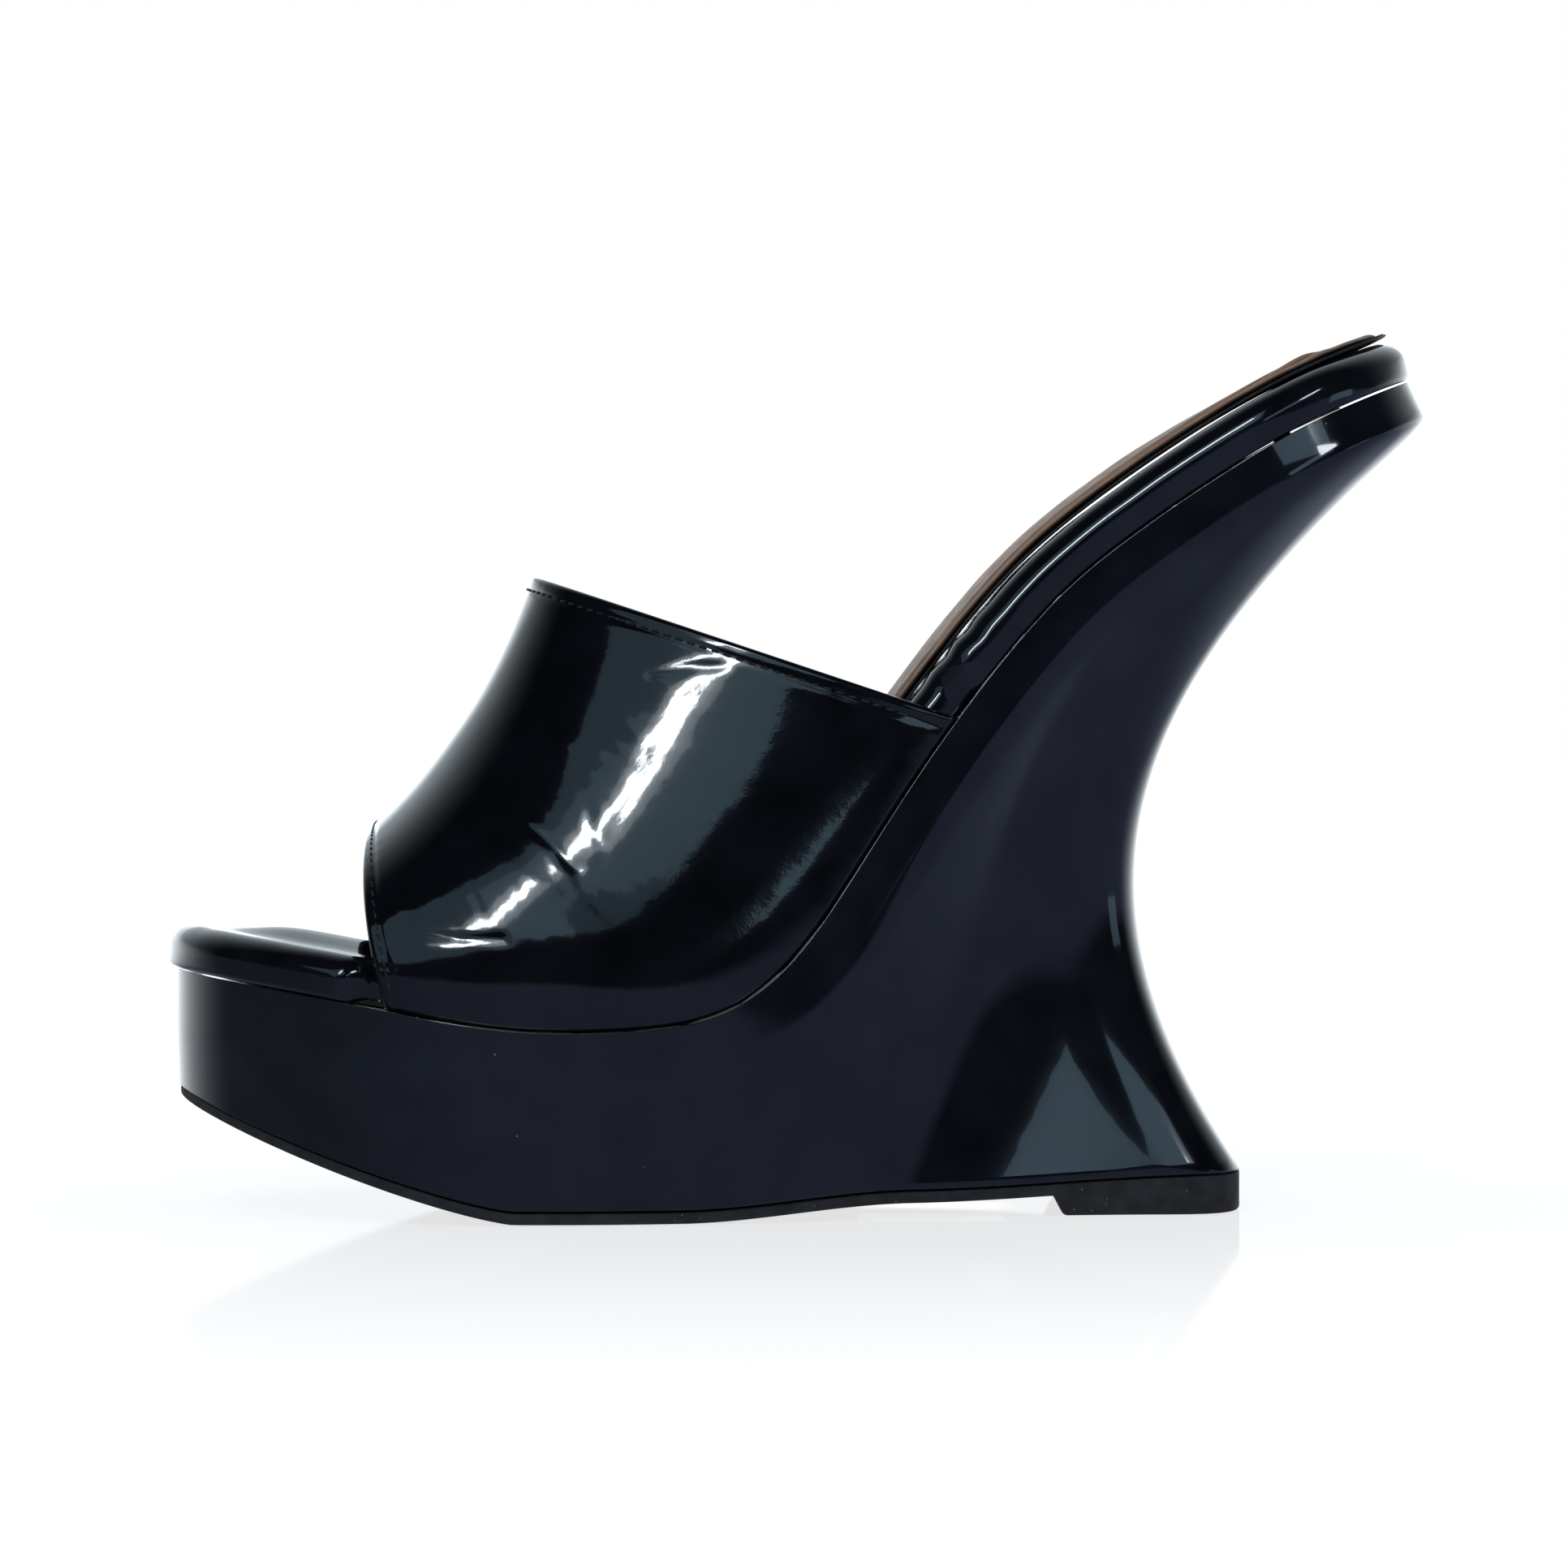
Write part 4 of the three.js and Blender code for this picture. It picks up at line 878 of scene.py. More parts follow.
def cushion_crown(s, y):
    """Height of the cushion: 1 - (y / half)^2 across, fading in and out along its length."""
    across = np.clip(1 - (y / CUSHION_HALF) ** 2, 0, 1)
    swelling = smoothstep(s, CUSHION_FROM, CUSHION_FROM + CUSHION_FADE)
    fading = 1 - smoothstep(s, CUSHION_TO - CUSHION_FADE, CUSHION_TO)
    return CUSHION_THICKNESS * across * swelling * fading


def line_bells(inside, lines, width):
    """The sum of one bell on each line, a line being a distance inside the edge."""
    return sum(bell(inside - line, width) for line in lines)


print("the cushion swells by up to", CUSHION_THICKNESS, "mm over its", CUSHION_EDGE, "mm edge")


# %% Heights of the two sheets
def backing_height(s, y, inside):
    """Flat, but its cut edge curls up a little, more towards the heel, and waves."""
    curl = np.exp(-inside / 1.6) * (0.12 + 0.15 * ease(s, SPINE_LENGTH - 50, SPINE_LENGTH - 4))
    wave = np.exp(-inside / 2.5) * 0.14 * ripples(s, y, 22, 3)
    return SOCK_N + SOCK_BACKING + np.maximum(curl + wave, -0.1)


def face_height(s, y, inside):
    """The tan face: a tent over the cushion, grooves where it is sewn down, sin^2 puffs between
    them, and an edge that turns down."""
    down = CUSHION_HALF + TENT_BESIDE
    beside = 1 - smoothstep(np.abs(y), down, down + TENT_SLOPE)
    front, rear = CUSHION_FROM - TENT_BEYOND, CUSHION_TO + TENT_BEYOND
    lengthwise = smoothstep(s, front - TENT_SLOPE, front) * (1 - smoothstep(s, rear, rear + TENT_SLOPE))
    lifted = beside * lengthwise * (CUSHION_EDGE + 2 * GAP) + cushion_crown(s, y)
    first, second = GROOVES
    puff = PUFF * np.sin(np.pi * np.clip(inside / first, 0, 1)) ** 2
    puff += PUFF * np.sin(np.pi * np.clip((inside - first) / (second - first), 0, 1)) ** 2
    edge_turn = -0.3 * np.exp(-inside / 0.25)
    sewn = GROOVE_DEPTH * line_bells(inside, GROOVES, GROOVE_WIDTH)
    return TAN_N + SOCK_LEATHER + lifted + puff + edge_turn - sewn + 0.03 * ripples(s, y, 9, 8)


# %% Sock sheets
points, _ = sock_sheet(0.0, backing_height)
piece(
    "sock_backing_sheet", points, quads(*points.shape[:2])[:, ::-1], SOCK_EDGE_MATERIAL,
    ["sock_backing"], SOCK_BACKING)
points, inside = sock_sheet(TAN_INSET, face_height, 300, 110)
# Painted shade: the face's colour is shaded along these lines
painted_shade = line_bells(inside, PAINTED_SHADE_LINES, PAINTED_SHADE_WIDTH)
piece(
    "sock_face_sheet", points, quads(*points.shape[:2])[:, ::-1], SOCK_FACE,
    ["sock_lining"], SOCK_LEATHER, marks=np.clip(painted_shade, 0, 1))

# %% [markdown]
# The cushion is a long low pad under the face. It is closed like the footbed: loops that run over
# the crown and back along the flat underside, pinched to a line at both ends.

# %% Sock cushion
CUSHION_ROUND = 14  # length of its two round ends


def cushion_loops(steps=90, strips=20):
    """Loops over the crown and back along the flat underside; the pad's half-width is
    CUSHION_HALF times its round ends, and its edge falls away with share^6."""
    s = np.linspace(CUSHION_FROM, CUSHION_TO, steps + 1)[:, None]
    share = np.linspace(-1, 1, strips + 1)[None, :]
    ends = round_end(s - CUSHION_FROM, CUSHION_ROUND, 2) * round_end(CUSHION_TO - s, CUSHION_ROUND, 2)
    y = share * CUSHION_HALF * ends
    edge = CUSHION_EDGE * (1 - share**6)
    over = place(s, y, TAN_N + edge + cushion_crown(s, y))
    under = place(s, y, TAN_N + 0 * y)
    return np.concatenate([over, under[:, -2:0:-1]], axis=1)


loops = cushion_loops()
cushion = piece(
    "sock_cushion_pad", loops, quads(*loops.shape[:2], closed=True)[:, ::-1], FOAM, ["sock_cushion"])

# %% [markdown]
# ## Vamp
# The vamp is one wide band of patent over the foot. Its edges are folded in and stitched, it is
# lined in black, and it creases where the foot bends. Its surface is a family of superellipse
# arches that run from the seam on one side over a ridge line to the seam on the other. A grid
# over (along, angle) gives the skin; at both edges the rows go on round the fold and a little
# way back inside. Just above its seams the skin is drawn in. The creases are worked into the skin
# itself, as shallow valleys along short lines, because a bump alone would not bend the outline of
# a highlight.

# %% Vamp surface
VAMP_LENGTH = VAMP_TO - VAMP_FROM
FRONT_TOP = np.array([-5.0, 0.0, 28.0])  # top of each edge from its foot
REAR_TOP = np.array([-69.0, 0.0, 23.2])
RIDGE_SAG, RIDGE_SHIFT, FRONT_BOW = 3.2, 4.0, 0.8
ARCH_POWER = 2.35
EDGE_ROUND = 0.75  # radius of the folded edges
TUCK_DEPTH, TUCK_REACH = 1.0, 13.0  # the skin is drawn in above the seam
STITCH_INSET = 2.3


def vamp_place(along, angle, depth, low=MARGIN_N):
    """The point `along` from the front edge to the rear one and at `angle` over the arch, from
    the outer foot at 0 to the inner one at pi, `depth` below the skin. The arch climbs with
    sin^(2/p) of the angle and comes in with cos^(2/p), p being the arch's power."""
    along, angle, depth = np.broadcast_arrays(np.asarray(along, float), angle, depth)
    s = mix(VAMP_FROM, VAMP_TO, along)
    front = place(VAMP_FROM, 0, 0) + FRONT_TOP
    rear = place(VAMP_TO, 0, 0) + REAR_TOP
    line = (rear - front) / np.linalg.norm(rear - front)
    middle = (front + rear) / 2 + 2 * RIDGE_SAG * np.array([line[2], 0, -line[0]])
    t = along[..., None]
    ridge = (1 - t) ** 2 * front + 2 * (1 - t) * t * middle + t**2 * rear
    rise = ridge - place(s, 0, 0)
    ridge = ridge - rise / np.linalg.norm(rise, axis=-1, keepdims=True) * depth[..., None]
    side = np.where(angle < np.pi / 2, OUTER, INNER)
    edge = swing(s / SPINE_LENGTH) + side * (top_half_width(s, side) - depth)
    over = np.abs(np.cos(angle)) ** (2 / ARCH_POWER)
    climb = np.sin(angle) ** (2 / ARCH_POWER)
    points = mix(place(s, 0, low), ridge, climb[..., None])
    points[..., 0] -= FRONT_BOW * (1 - along) * np.sin(np.pi * climb)
    points[..., 1] = mix(RIDGE_SHIFT, edge, over)
    return points


print("superellipse arches of power", ARCH_POWER, "over", VAMP_LENGTH, "mm of spine")


# %% Lengths over the vamp
def arch_angles(count):
    """Angles that divide the middle arch into even steps."""
    dense = np.linspace(0, np.pi, 20001)
    arch = vamp_place(0.5, dense, 0.0)
    run = np.r_[0, np.cumsum(np.linalg.norm(np.diff(arch, axis=0), axis=1))]
    return np.interp(np.linspace(0, run[-1], count + 1), run, dense)


ANGLES = arch_angles(230)
guides = vamp_place(np.linspace(0, 1, 60)[:, None], ANGLES[None, :], 0.0)
EDGE_TO_EDGE = np.linalg.norm(np.diff(guides, axis=0), axis=2).sum(0)
OVER_ARCH = np.r_[0, np.cumsum(np.linalg.norm(np.diff(guides[30], axis=0), axis=1))]
print(f"vamp {EDGE_TO_EDGE.max():.0f} mm from edge to edge at most, {EDGE_TO_EDGE.min():.0f} mm at least")


def along_at(offset, angle=ANGLES):
    """`along` at a distance from the front edge, or from the rear edge where it has a minus sign,
    which -0.0 has too."""
    length = np.interp(angle, ANGLES, EDGE_TO_EDGE)
    return np.where(np.signbit(offset), 1 + offset / length, offset / length)


# %% [markdown]
# Each crease is a short line, given in the side view by a few points from the toe end and the
# ground, in millimetres. A point of the skin sinks by how near it lies to the line. Small waves
# that are strongest where the vamp bends break the highlight up.

# %% Creases
CREASES = [
    # points (x, z), depth, half-width
    ([(88, 88), (84, 82), (79, 76), (75.5, 68), (73, 62), (70, 56), (62, 49)], 0.03, 1.4),
    ([(56, 66), (62, 60), (67, 56)], 0.1, 0.8),
    ([(56, 45), (48, 45), (41, 46)], 0.1, 0.8),
    ([(90, 88), (84, 87.5), (78, 86.5)], 0.12, 0.9),
    ([(66, 74), (68, 66), (70, 60)], 0.06, 0.9),
    ([(39, 47), (37, 44), (36, 41)], 0.14, 1.6),
]
BEND_LINE, BEND_WIDTH = [(86, 90), (76, 74), (68, 56), (56, 48), (40, 45)], 9
print(len(CREASES), "creases")


def distance_to_line(x, z, line):
    """Distance of every (x, z) from a line of straight stretches."""
    nearest = np.full(x.shape, 1e9)
    for (ax, az), (bx, bz) in zip(line[:-1], line[1:]):
        dx, dz = bx - ax, bz - az
        share = np.clip(((x - ax) * dx + (z - az) * dz) / (dx * dx + dz * dz), 0, 1)
        nearest = np.minimum(nearest, np.hypot(x - ax - share * dx, z - az - share * dz))
    return nearest


def sinking(points, along, angle):
    """How far the skin lies below the smooth arch: creases, break-up waves and long waves. The
    waves are laid out on the skin itself, in millimetres along it and over it."""
    x, z = points[..., 0], points[..., 2]
    u, v = along * VAMP_LENGTH * 0.75, np.interp(angle, ANGLES, OVER_ARCH)
    near_side = ease(np.pi / 2 - angle, 0, 0.5)
    wander = 0.8 * ripples(u, v, 7, 11)
    valleys = sum(
        depth * bell(distance_to_line(x + wander, z, line), half) for line, depth, half in CREASES)
    bend = bell(distance_to_line(x, z, BEND_LINE), BEND_WIDTH)
    broken = 0.012 * ripples(u, v * 0.3, 3.2, 21) + 0.022 * ripples(u, v * 0.35, 9, 22)
    calm = 0.04 * ripples(u, v, 28, 23)
    return (0.3 + 0.7 * near_side) * (valleys + broken * bend) + calm


# %% [markdown]
# The skin's rows start 5 mm inside the front edge, turn round the fold, cross the outside, and
# end 5 mm inside the rear edge. Its columns start on the margin that is glued in under the
# footbed. A shallow groove runs under each row of stitches, and the skin puckers a little there.

# %% Rows of the skin
SKIN_WALL = 0.45
FOLD_INSETS = (5.0, 3.0, 1.5)  # rows inside the folded edge
FOOT_INSETS = (7.0, 3.0, 0.8)  # columns on the glued margin
SEAM_GROOVE, SEAM_GROOVE_WIDTH = 0.16, 0.5
PUCKER, PUCKER_WIDTH = 0.02, 2.2


def skin_rows(rows=170):
    """The offset from the edge and the depth of the rows round one folded edge, and the shares of
    the rows between the two edges."""
    half_turn = np.linspace(-np.pi / 2, np.pi / 2, 11)
    turn_offset = EDGE_ROUND * (1 - np.cos(half_turn))
    turn_depth = EDGE_ROUND * (1 - np.sin(half_turn))
    offset = np.r_[FOLD_INSETS, turn_offset]
    depth = np.r_[[2 * EDGE_ROUND] * len(FOLD_INSETS), turn_depth]
    share = np.linspace(0, 1, rows)[1:-1]
    return offset, depth, share


def margin(column, side, s, depth):
    """Three more columns on the margin that is glued in beside a foot of the vamp."""
    half = top_half_width(s[:, column], np.full(len(s), side))
    edge = swing(s[:, column] / SPINE_LENGTH) + side * (half - depth[:, column])
    return np.stack([place(s[:, column], edge - side * inset, MARGIN_N) for inset in FOOT_INSETS], 1)


print("rows over the vamp:", 2 * len(skin_rows()[0]) + len(skin_rows()[2]))


# %% Vamp skin
def skin_grid():
    """The arch, sunk by folds, creases, grooves and puckers, with both margins beside it."""
    offset, depth, share = skin_rows()
    front = along_at(offset[:, None])
    rear = along_at(-offset[::-1, None])
    middle = mix(front[-1], rear[0], share[:, None])
    along = np.concatenate([front, middle, rear])
    deep = np.concatenate([depth, 0 * share, depth[::-1]])[:, None] + 0 * along
    angle = ANGLES[None, :] + 0 * along
    smooth = vamp_place(along, angle, deep)
    from_edge = np.minimum(along, 1 - along) * EDGE_TO_EDGE
    free = ease(from_edge, 0.6, 6) * ease(np.sin(angle), 0.02, 0.2)
    groove = SEAM_GROOVE * bell(from_edge - STITCH_INSET, SEAM_GROOVE_WIDTH) * (deep < 0.01)
    over = np.interp(angle, ANGLES, OVER_ARCH)
    pucker = PUCKER * bell(from_edge - STITCH_INSET, PUCKER_WIDTH) * ripples(from_edge * 0.3, over, 3.6, 31)
    from_foot = np.minimum(over, OVER_ARCH[-1] - over)
    tuck = TUCK_DEPTH * np.clip(1 - from_foot / TUCK_REACH, 0, 1) ** 2
    deep += tuck
    points = vamp_place(along, angle, deep + free * sinking(smooth, along, angle) + groove + pucker)
    s = mix(VAMP_FROM, VAMP_TO, along)
    outer, inner = margin(0, OUTER, s, deep), margin(-1, INNER, s, deep)
    return np.concatenate([outer, points, inner[:, ::-1]], axis=1)


grid = skin_grid()
piece(
    "vamp_skin", grid, quads(*grid.shape[:2])[:, ::-1], VAMP_PATENT, ["vamp_outer"],
    SKIN_WALL, merge=False)

# %% [markdown]
# ## Vamp lining
# The lining and the thin interlining follow the skin from inside and stop just short of the
# folded edges, so that from behind and from the front a narrow line of patent shows round the
# dark lining.

# %% Lining and interlining
def lining_grid(depth, inset, low):
    """The arch `depth` below the skin, from `inset` behind one edge to `inset` before the other. It
    takes 0.6 of the skin's own sinking, counted up to 0.3 mm, and less of it near the edges."""
    share = np.linspace(0, 1, 70)[:, None]
    along = mix(along_at(inset), along_at(-inset), share)
    angle = ANGLES[None, ::2] + 0 * along[:, ::2]
    along = along[:, ::2]
    smooth = vamp_place(along, angle, depth, low)
    wave = 0.6 * np.minimum(sinking(smooth, along, angle), 0.3) * ease(np.minimum(along, 1 - along), 0, 0.1)
    return vamp_place(along, angle, depth + wave, low)


LINING_SHEETS = (
    # name, depth below the skin, inset from its edges, wall, material, slot, node
    ("vamp_lining_sheet", 2.35, 1.3, 0.6, LINING, "vamp_lining", "vamp_lining"),
    ("vamp_interlining_sheet", 1.15, 2.6, 0.2, INTERLINING, "interlining", "vamp_interlining"),
)
for name, depth, inset, wall, material, slot, stands_for in LINING_SHEETS:
    grid = lining_grid(depth, inset, WRAP_N)
    piece(name, grid, quads(*grid.shape[:2]), material, [stands_for], wall, merge=False)

# %% [markdown]
# ## Stitches
# A row of lockstitches shows as short lengths of thread with a small gap between them, slightly
# slanted along the vamp's edges. One stitch is a small capsule of only 30 faces, because there are
# hundreds of them. All stitches of a row are made at once, by carrying the capsule along the row
# with the row's own directions.

# %% One stitch
def capsule(sides=6, rings=4):
    """Points of a capsule of length 1 and radius 1 along the first axis, and its quads."""
    angle = np.linspace(0, np.pi, rings + 2)[:, None]
    around = np.linspace(0, 2 * np.pi, sides, endpoint=False)[None, :]
    first = -0.5 * np.cos(angle) + 0 * around
    radius = np.sin(angle) ** 0.6
    points = np.stack([first, radius * np.cos(around), radius * np.sin(around)], -1)
    return points.reshape(-1, 3), quads(rings + 2, sides, closed=True)


print("faces of a stitch:", len(capsule()[1]))


# %% A row of stitches
def sample(rows, run, where):
    """Rows of three numbers, read at lengths along their line."""
    return np.stack([np.interp(where, run, rows[:, k]) for k in range(3)], -1)


def unit(rows):
    """The same directions, each of length 1."""
    return rows / np.linalg.norm(rows, axis=1, keepdims=True)


def stitch_row(name, line, normal, pitch, length, radius, slant, material, replaces=(), sink=0.35):
    """Capsules every `pitch` along a dense line; slant turns each one about the normal, and sink
    is the share of the radius that lies below the line."""
    run = np.r_[0, np.cumsum(np.linalg.norm(np.diff(line, axis=0), axis=1))]
    count = int(run[-1] / pitch)
    at = (np.arange(count) + 0.5) * run[-1] / count
    centre = sample(line, run, at)
    ahead = sample(line, run, at + 0.2) - sample(line, run, at - 0.2)
    up = unit(sample(normal, run, at))
    ahead = unit(ahead - up * (ahead * up).sum(1, keepdims=True))
    across = np.cross(up, ahead)
    turned = ahead * math.cos(slant) + across * math.sin(slant)
    across = across * math.cos(slant) - ahead * math.sin(slant)
    base, faces = capsule()
    luck = np.random.default_rng(len(name))
    stretch = length * luck.uniform(0.93, 1.05, (count, 1, 1))
    points = (centre[:, None] - sink * radius * up[:, None]
              + base[None, :, :1] * turned[:, None] * stretch
              + base[None, :, 1:2] * across[:, None] * radius
              + base[None, :, 2:3] * up[:, None] * radius)
    faces = (faces[None] + len(base) * np.arange(count)[:, None, None]).reshape(-1, 4)
    piece(name, points, faces, material, replaces)


# %% Vamp stitches
def vamp_seam(offset):
    """A dense line over the arch at an offset from an edge, and the skin's outward direction."""
    angle = np.linspace(0.06, np.pi - 0.06, 900)
    along = along_at(offset, angle)
    line = vamp_place(along, angle, 0.1)
    return line, vamp_place(along, angle, -0.9) - line


for name, offset, node_name in (
    ("front_stitches", STITCH_INSET - 0.5, "front_stitching"),
    ("rear_stitches", -STITCH_INSET, "rear_stitching"),
):
    line, normal = vamp_seam(offset)
    stitch_row(name, line, normal, 2.1, 1.75, 0.27, 0.12, THREAD, [node_name])


# %% Sock stitches
def sock_seam(inside):
    """A closed line round the tan face, `inside` its edge, lying in the groove."""
    inset = TAN_INSET + inside
    s, side = ring_of(sock_stations(inset, 500))
    y = sock_half(s, side, inset)
    height = face_height(s, y, np.full_like(s, inside))
    return place(s, y, height), directions(s)[1]


for number, inside in enumerate(GROOVES, 1):
    line, normal = sock_seam(inside)
    stitch_row(
        f"sock_stitches_{number}", line, normal, 2.6, 2.0, 0.17, 0.0, TAN_THREAD, sink=-0.1)

# %% [markdown]
# ## Outsole
# The outsole is a thin matt rubber sheet that follows the wedge's foot, with a heel block moulded
# on at the back. It is built as closed loops like the footbed: over the top, round the edge, and
# back across the tread. The block is the same surface with its underside brought down to the
# ground over a short slanted front.

# %% Tread
HEEL_BLOCK_FRONT, BLOCK_SLANT = 0.826, 0.013
SOLE_EDGE, TOP_EDGE = 0.55, 0.6  # radius of the lower edge, and the upper one's share of it
COVERED_INSET, TREAD_INSET = 3.0, 2.2  # innermost rows above and below


def tread_height(share):
    """Height of the underside: the sheet's own clearance, brought to 0 at the heel block."""
    block = smoothstep(share, HEEL_BLOCK_FRONT - BLOCK_SLANT / 2, HEEL_BLOCK_FRONT + BLOCK_SLANT / 2)
    return sole_lift(share) * (1 - block)


print("heel block from", round(float(sole_place(HEEL_BLOCK_FRONT, OUTER)[0]), 1), "mm behind the toe")


# %% Outsole
def sole_loops(strips=24):
    """Loops over the sheet, round its two small quarter turns, and back across the tread, with
    extra stations where the block's front slants."""
    length = SOLE_LENGTH - SOLE_SETBACK
    even = even_stations(230, 1.0, lambda t: sole_half_width(t, np.full_like(t, OUTER)) / length)
    front = HEEL_BLOCK_FRONT + BLOCK_SLANT * np.linspace(-0.7, 0.7, 12)
    stations = np.unique(np.r_[even, front])
    share, side = ring_of(stations)
    count = len(stations)
    x, y = sole_place(share, side)
    out_x, out_y = outward(x, y)
    top = sole_lift(share) + OUTSOLE_THICKNESS
    bottom = tread_height(share)
    quarter = np.linspace(0, np.pi / 2, 6)
    turn_in = SOLE_EDGE * (1 - np.sin(quarter)) * TOP_EDGE
    depth = np.r_[COVERED_INSET, turn_in, SOLE_EDGE * (1 - np.cos(quarter)), TREAD_INSET]
    upper = [top] + [top - TOP_EDGE * SOLE_EDGE * (1 - math.cos(a)) for a in quarter]
    lower = [bottom + SOLE_EDGE * (1 - math.sin(a)) for a in quarter] + [bottom]
    inset = OUTSOLE_INSET + depth[:, None]
    side_rows = np.stack([x - out_x * inset, y - out_y * inset, np.stack(upper + lower)], -1)
    outer = side_rows[:, :count]
    inner = np.concatenate([side_rows[:, :1], side_rows[:, :count - 2:-1]], axis=1)
    across = np.linspace(0, 1, strips + 1)[1:-1, None, None]
    tread = mix(outer[-1], inner[-1], across)
    cover = mix(inner[0], outer[0], across)
    return np.concatenate([outer, tread, inner[::-1], cover]).swapaxes(0, 1)


loops = sole_loops()
piece(
    "outsole_rubber", loops, quads(*loops.shape[:2], closed=True), RUBBER, ["outsole"])

# %% [markdown]
# ## Studio
# Black gloss shows nothing but its surroundings, so the room is the paint. Behind the shoe the
# room is white, which draws bright rims along the edges that turn away. In front it is a dim
# blue near and below the horizon and black higher up. The camera itself always sees a white
# background. The floor glows a little, so that it stays white right up to the shoe, and it
# mirrors the shoe faintly.

# %% Floor
def floor_material():
    """White, lit and glowing, with a faint mirror in it that fades out away from the shoe."""
    made = bpy.data.materials.new("white_floor")
    made.use_nodes = True
    tree = made.node_tree
    tree.nodes.clear()
    at = object_place(tree)
    cloudy = spread(tree, noise(tree, at, 300.0, 2.0), 0.3, 0.7)
    pale = blend_colours(tree, cloudy, (0.24, 0.24, 0.24), (0.26, 0.26, 0.26))
    lit = node(tree, "ShaderNodeBsdfDiffuse", {"Color": pale})
    away = node(tree, "ShaderNodeVectorMath", {0: at}, operation="LENGTH").outputs["Value"]
    whiter = blend_colours(tree, spread(tree, away, 0.08, 0.4), (0.84, 0.84, 0.845), (1.05, 1.05, 1.05))
    glow = node(tree, "ShaderNodeEmission", {"Color": whiter}, Strength=1.0)
    white = node(tree, "ShaderNodeAddShader", {0: lit.outputs[0], 1: glow.outputs[0]})
    mirror = node(tree, "ShaderNodeBsdfGlossy", Roughness=0.06)
    share = spread(tree, away, 0.1, 0.42, 0.12, 0.0)
    both = node(tree, "ShaderNodeMixShader", {0: share, 1: white.outputs[0], 2: mirror.outputs[0]})
    node(tree, "ShaderNodeOutputMaterial", {"Surface": both.outputs[0]})
    return made


FLOOR_HALF, FLOOR_DROP = 6, 0.0002
FLOOR_SIGNS = ((-1, -1), (1, -1), (1, 1), (-1, 1))
floor_corners = [(x * FLOOR_HALF, y * FLOOR_HALF, -FLOOR_DROP) for x, y in FLOOR_SIGNS]
floor_mesh = bpy.data.meshes.new("floor")
floor_mesh.from_pydata(floor_corners, [], [(0, 1, 2, 3)])
floor = bpy.data.objects.new("floor", floor_mesh)
bpy.context.scene.collection.objects.link(floor)
floor_mesh.materials.append(floor_material())
floor.visible_glossy = False
print("floor", 2 * FLOOR_HALF, "m wide")

# %% Surroundings
def studio_world():
    """Light by direction. Behind: grey low down, white at the horizon, pale blue above. In front:
    dim blue up to a little over the horizon, black above. Plain white to the camera."""
    world = bpy.data.worlds.new("studio")
    world.use_nodes = True
    tree = world.node_tree
    tree.nodes.clear()
    at = node(tree, "ShaderNodeTexCoord").outputs["Generated"]
    x, y, z = node(tree, "ShaderNodeSeparateXYZ", {"Vector": at}).outputs
    behind = node(tree, "ShaderNodeMath", {0: spread(tree, y, 0.12, 1.0)}, operation="POWER")
    behind.inputs[1].default_value = 1.7
    lower_wall = blend_colours(tree, spread(tree, z, -0.3, -0.02), (0.2, 0.22, 0.25), (1.6, 1.7, 1.75))
    wall = blend_colours(tree, spread(tree, z, 0.15, 0.3), lower_wall, (0.7, 0.79, 0.85))
    blue = blend_colours(tree, spread(tree, x, -0.9, -0.3), (0.05, 0.064, 0.085), (0.105, 0.125, 0.2))
    front = blend_colours(tree, spread(tree, z, 0.12, 0.06), (0.004, 0.004, 0.006), blue)
    room = blend_colours(tree, behind.outputs[0], front, wall)
    light = node(tree, "ShaderNodeBackground", {"Color": room}, Strength=1.0)
    seen = node(tree, "ShaderNodeBackground", Strength=1.0)
    seen.inputs["Color"].default_value = (1, 1, 1, 1)
    to_camera = node(tree, "ShaderNodeLightPath").outputs["Is Camera Ray"]
    both = node(tree, "ShaderNodeMixShader", {0: to_camera, 1: light.outputs[0], 2: seen.outputs[0]})
    node(tree, "ShaderNodeOutputWorld", {"Surface": both.outputs[0]})
    return world


bpy.context.scene.world = studio_world()
bpy.context.scene.view_settings.view_transform = "Standard"
print("world:", bpy.context.scene.world.name)

# %% [markdown]
# ## Lights
# The highlights on the vamp are the shapes of lamps. A large dim softbox on the toe's side, with a
# smaller one in front of it, lays a soft grey over the vamp, and a glow with a narrow bright tube
# in it draws the white streak along the bend. A softbox and a tube on the heel's side do the same
# for the rear half, and one low lamp lights the flare of the heel. A large soft light from above
# brightens the floor and is left out of the reflections. Every lamp is placed by its azimuth and
# elevation round the shoe, because a mirror's highlight depends on the lamp's direction.

# %% Lamps by direction
shoe_centre = (cad_low + cad_high) / 2
COLD, COOL = (0.52, 0.8, 1.0), (0.9, 0.96, 1.0)


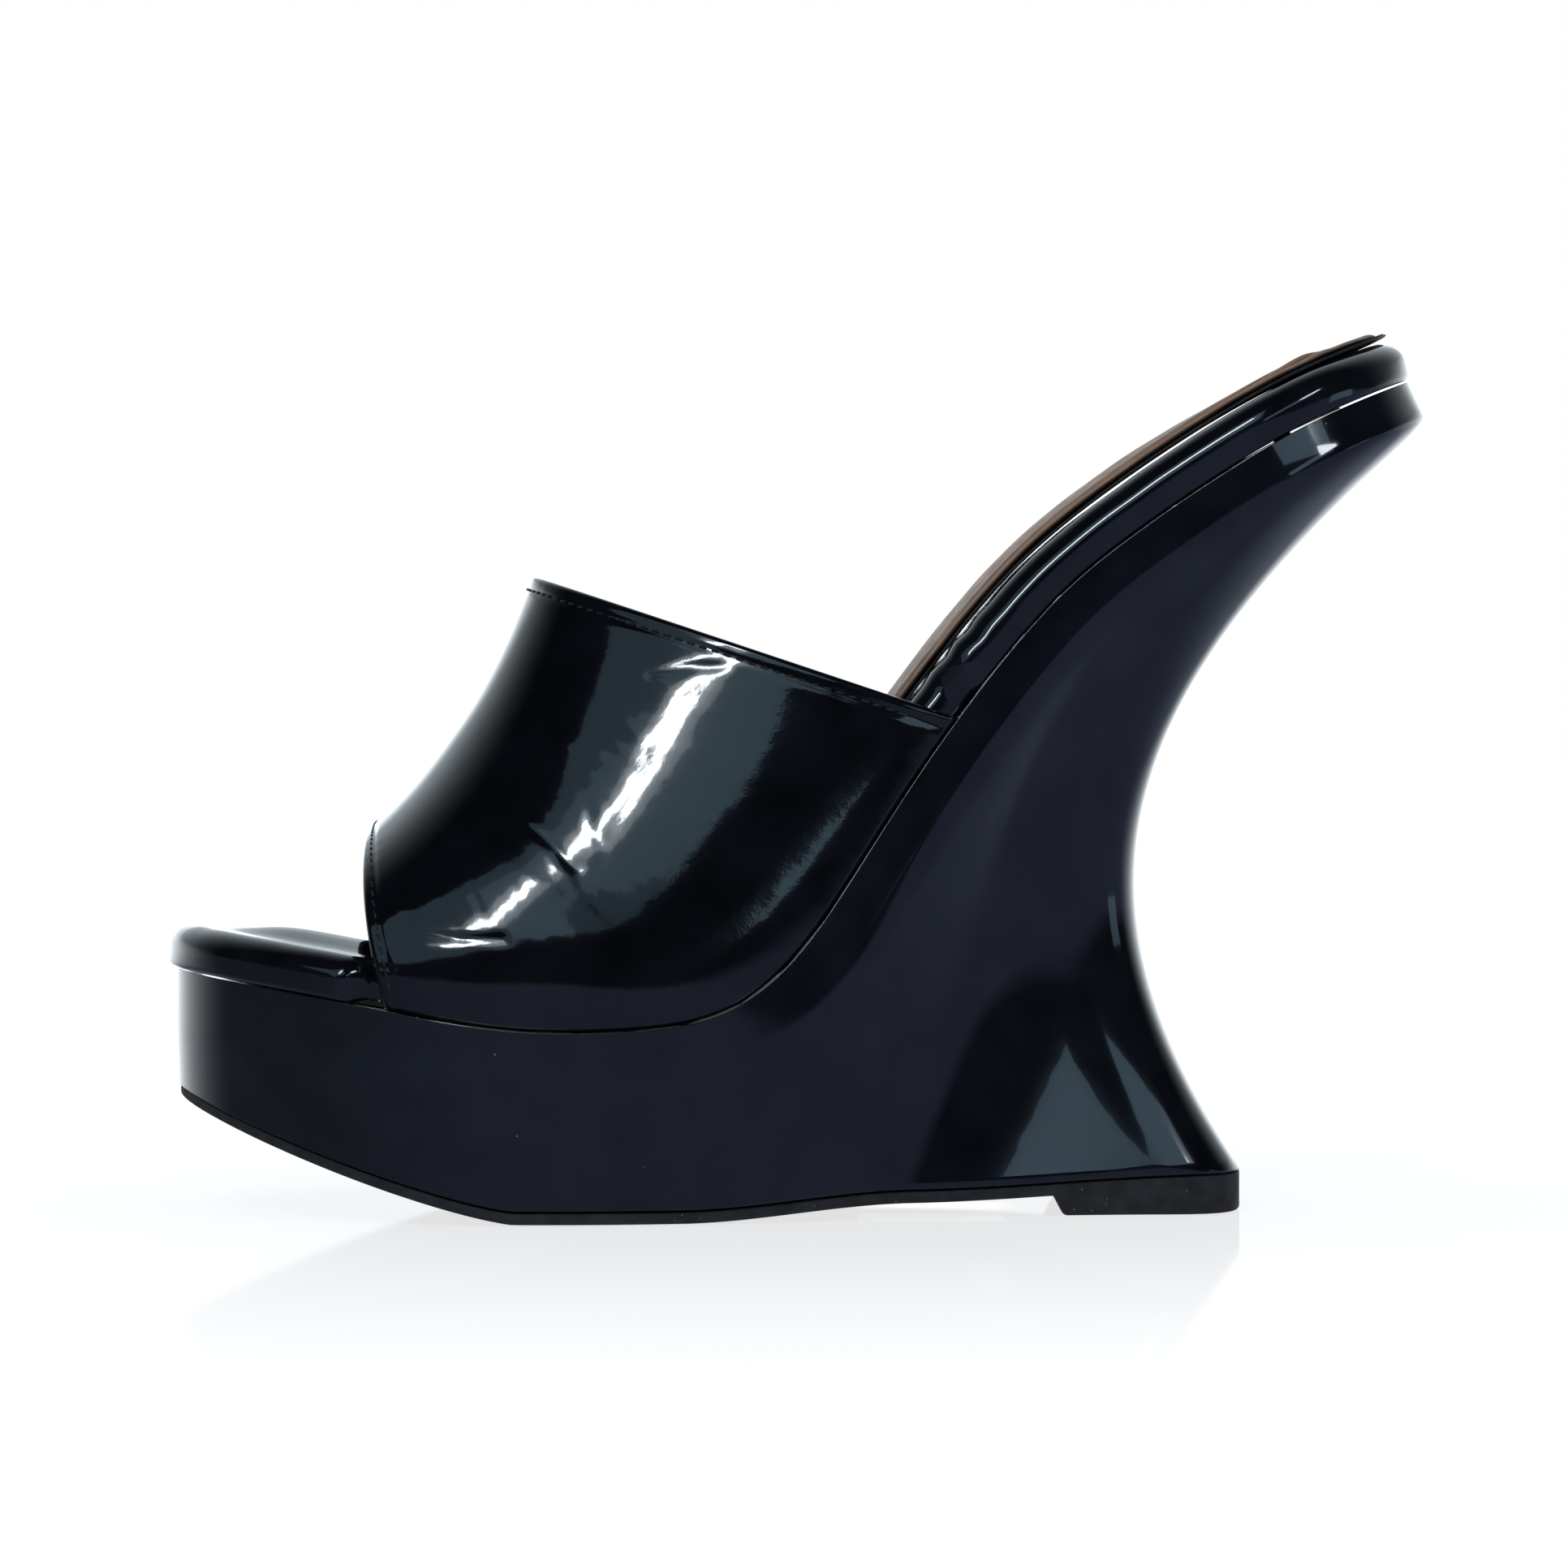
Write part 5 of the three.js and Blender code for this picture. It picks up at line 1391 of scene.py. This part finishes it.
def area_light(name, azimuth, elevation, width, height, energy,
               colour=COLD, roll=0.0, distance=1.2, glossy=True):
    """A lamp at an azimuth (0 in front, 90 to the heel's side) and elevation round the shoe, in
    degrees, rolled about the line to the shoe. Its size and distance are in metres, its energy in
    watts; without glossy it doesn't show in reflections."""
    data = bpy.data.lights.new(name, "AREA")
    data.shape = "RECTANGLE"
    data.size, data.size_y = width, height
    data.energy = energy
    data.color = colour
    lamp = bpy.data.objects.new(name, data)
    a, e = math.radians(azimuth), math.radians(elevation)
    way = Vector((math.sin(a) * math.cos(e), -math.cos(a) * math.cos(e), math.sin(e)))
    lamp.location = shoe_centre + way * distance
    lamp.rotation_mode = "QUATERNION"
    lamp.rotation_quaternion = (-way).to_track_quat("-Z", "Y") @ Quaternion((0, 0, 1), math.radians(roll))
    lamp.visible_camera = False
    lamp.visible_glossy = glossy
    bpy.context.scene.collection.objects.link(lamp)


# %% Lamps
area_light("left_softbox", -31.5, 33, 1.04, 0.73, 0.9, roll=28)
area_light("left_inner", -14, 37, 0.46, 0.62, 0.3, roll=28, distance=1.19)
area_light("left_glow", -20, 36, 0.2, 0.5, 0.4, COOL, roll=-25, distance=1.18)
area_light("left_tube", -20.5, 36, 0.065, 0.46, 1.6, COOL, roll=-25, distance=1.15)
area_light("right_softbox", 28, 22, 0.16, 0.72, 0.32, roll=-62)
area_light("right_tube", 41, 30, 0.08, 0.26, 0.7, COOL, roll=-62, distance=1.15)
area_light("heel_side", 72, 5, 0.4, 0.16, 0.12)
area_light("ceiling", 0, 88, 2.4, 2.4, 8.0, COOL, distance=1.6, glossy=False)
print(len(bpy.data.lights), "lamps")

# %% [markdown]
# ## Camera
# A long lens about a metre away looks at the shoe's outer side, from a little above its middle, so
# the sole is seen nearly edge-on.

# %% Camera
LENS, SENSOR_WIDTH = 147.7, 36.0
CAMERA_DISTANCE, CAMERA_HEIGHT, AIM_HEIGHT = 1.05, 0.084, 0.0687
CAMERA_TO_TOE = 0.00204  # metres to the toe's side of the middle

camera_data = bpy.data.cameras.new("camera")
camera_data.sensor_width = SENSOR_WIDTH
camera_data.lens = LENS
camera_data.clip_start, camera_data.clip_end = 0.05, 30.0
camera = bpy.data.objects.new("camera", camera_data)
camera.location = (shoe_centre.x - CAMERA_TO_TOE, -CAMERA_DISTANCE, CAMERA_HEIGHT)
aim = Vector((camera.location.x, 0, AIM_HEIGHT))
camera.rotation_mode = "QUATERNION"
camera.rotation_quaternion = (aim - camera.location).to_track_quat("-Z", "Y")
bpy.context.scene.collection.objects.link(camera)
bpy.context.scene.camera = camera
print("camera at", [round(v, 3) for v in camera.location])
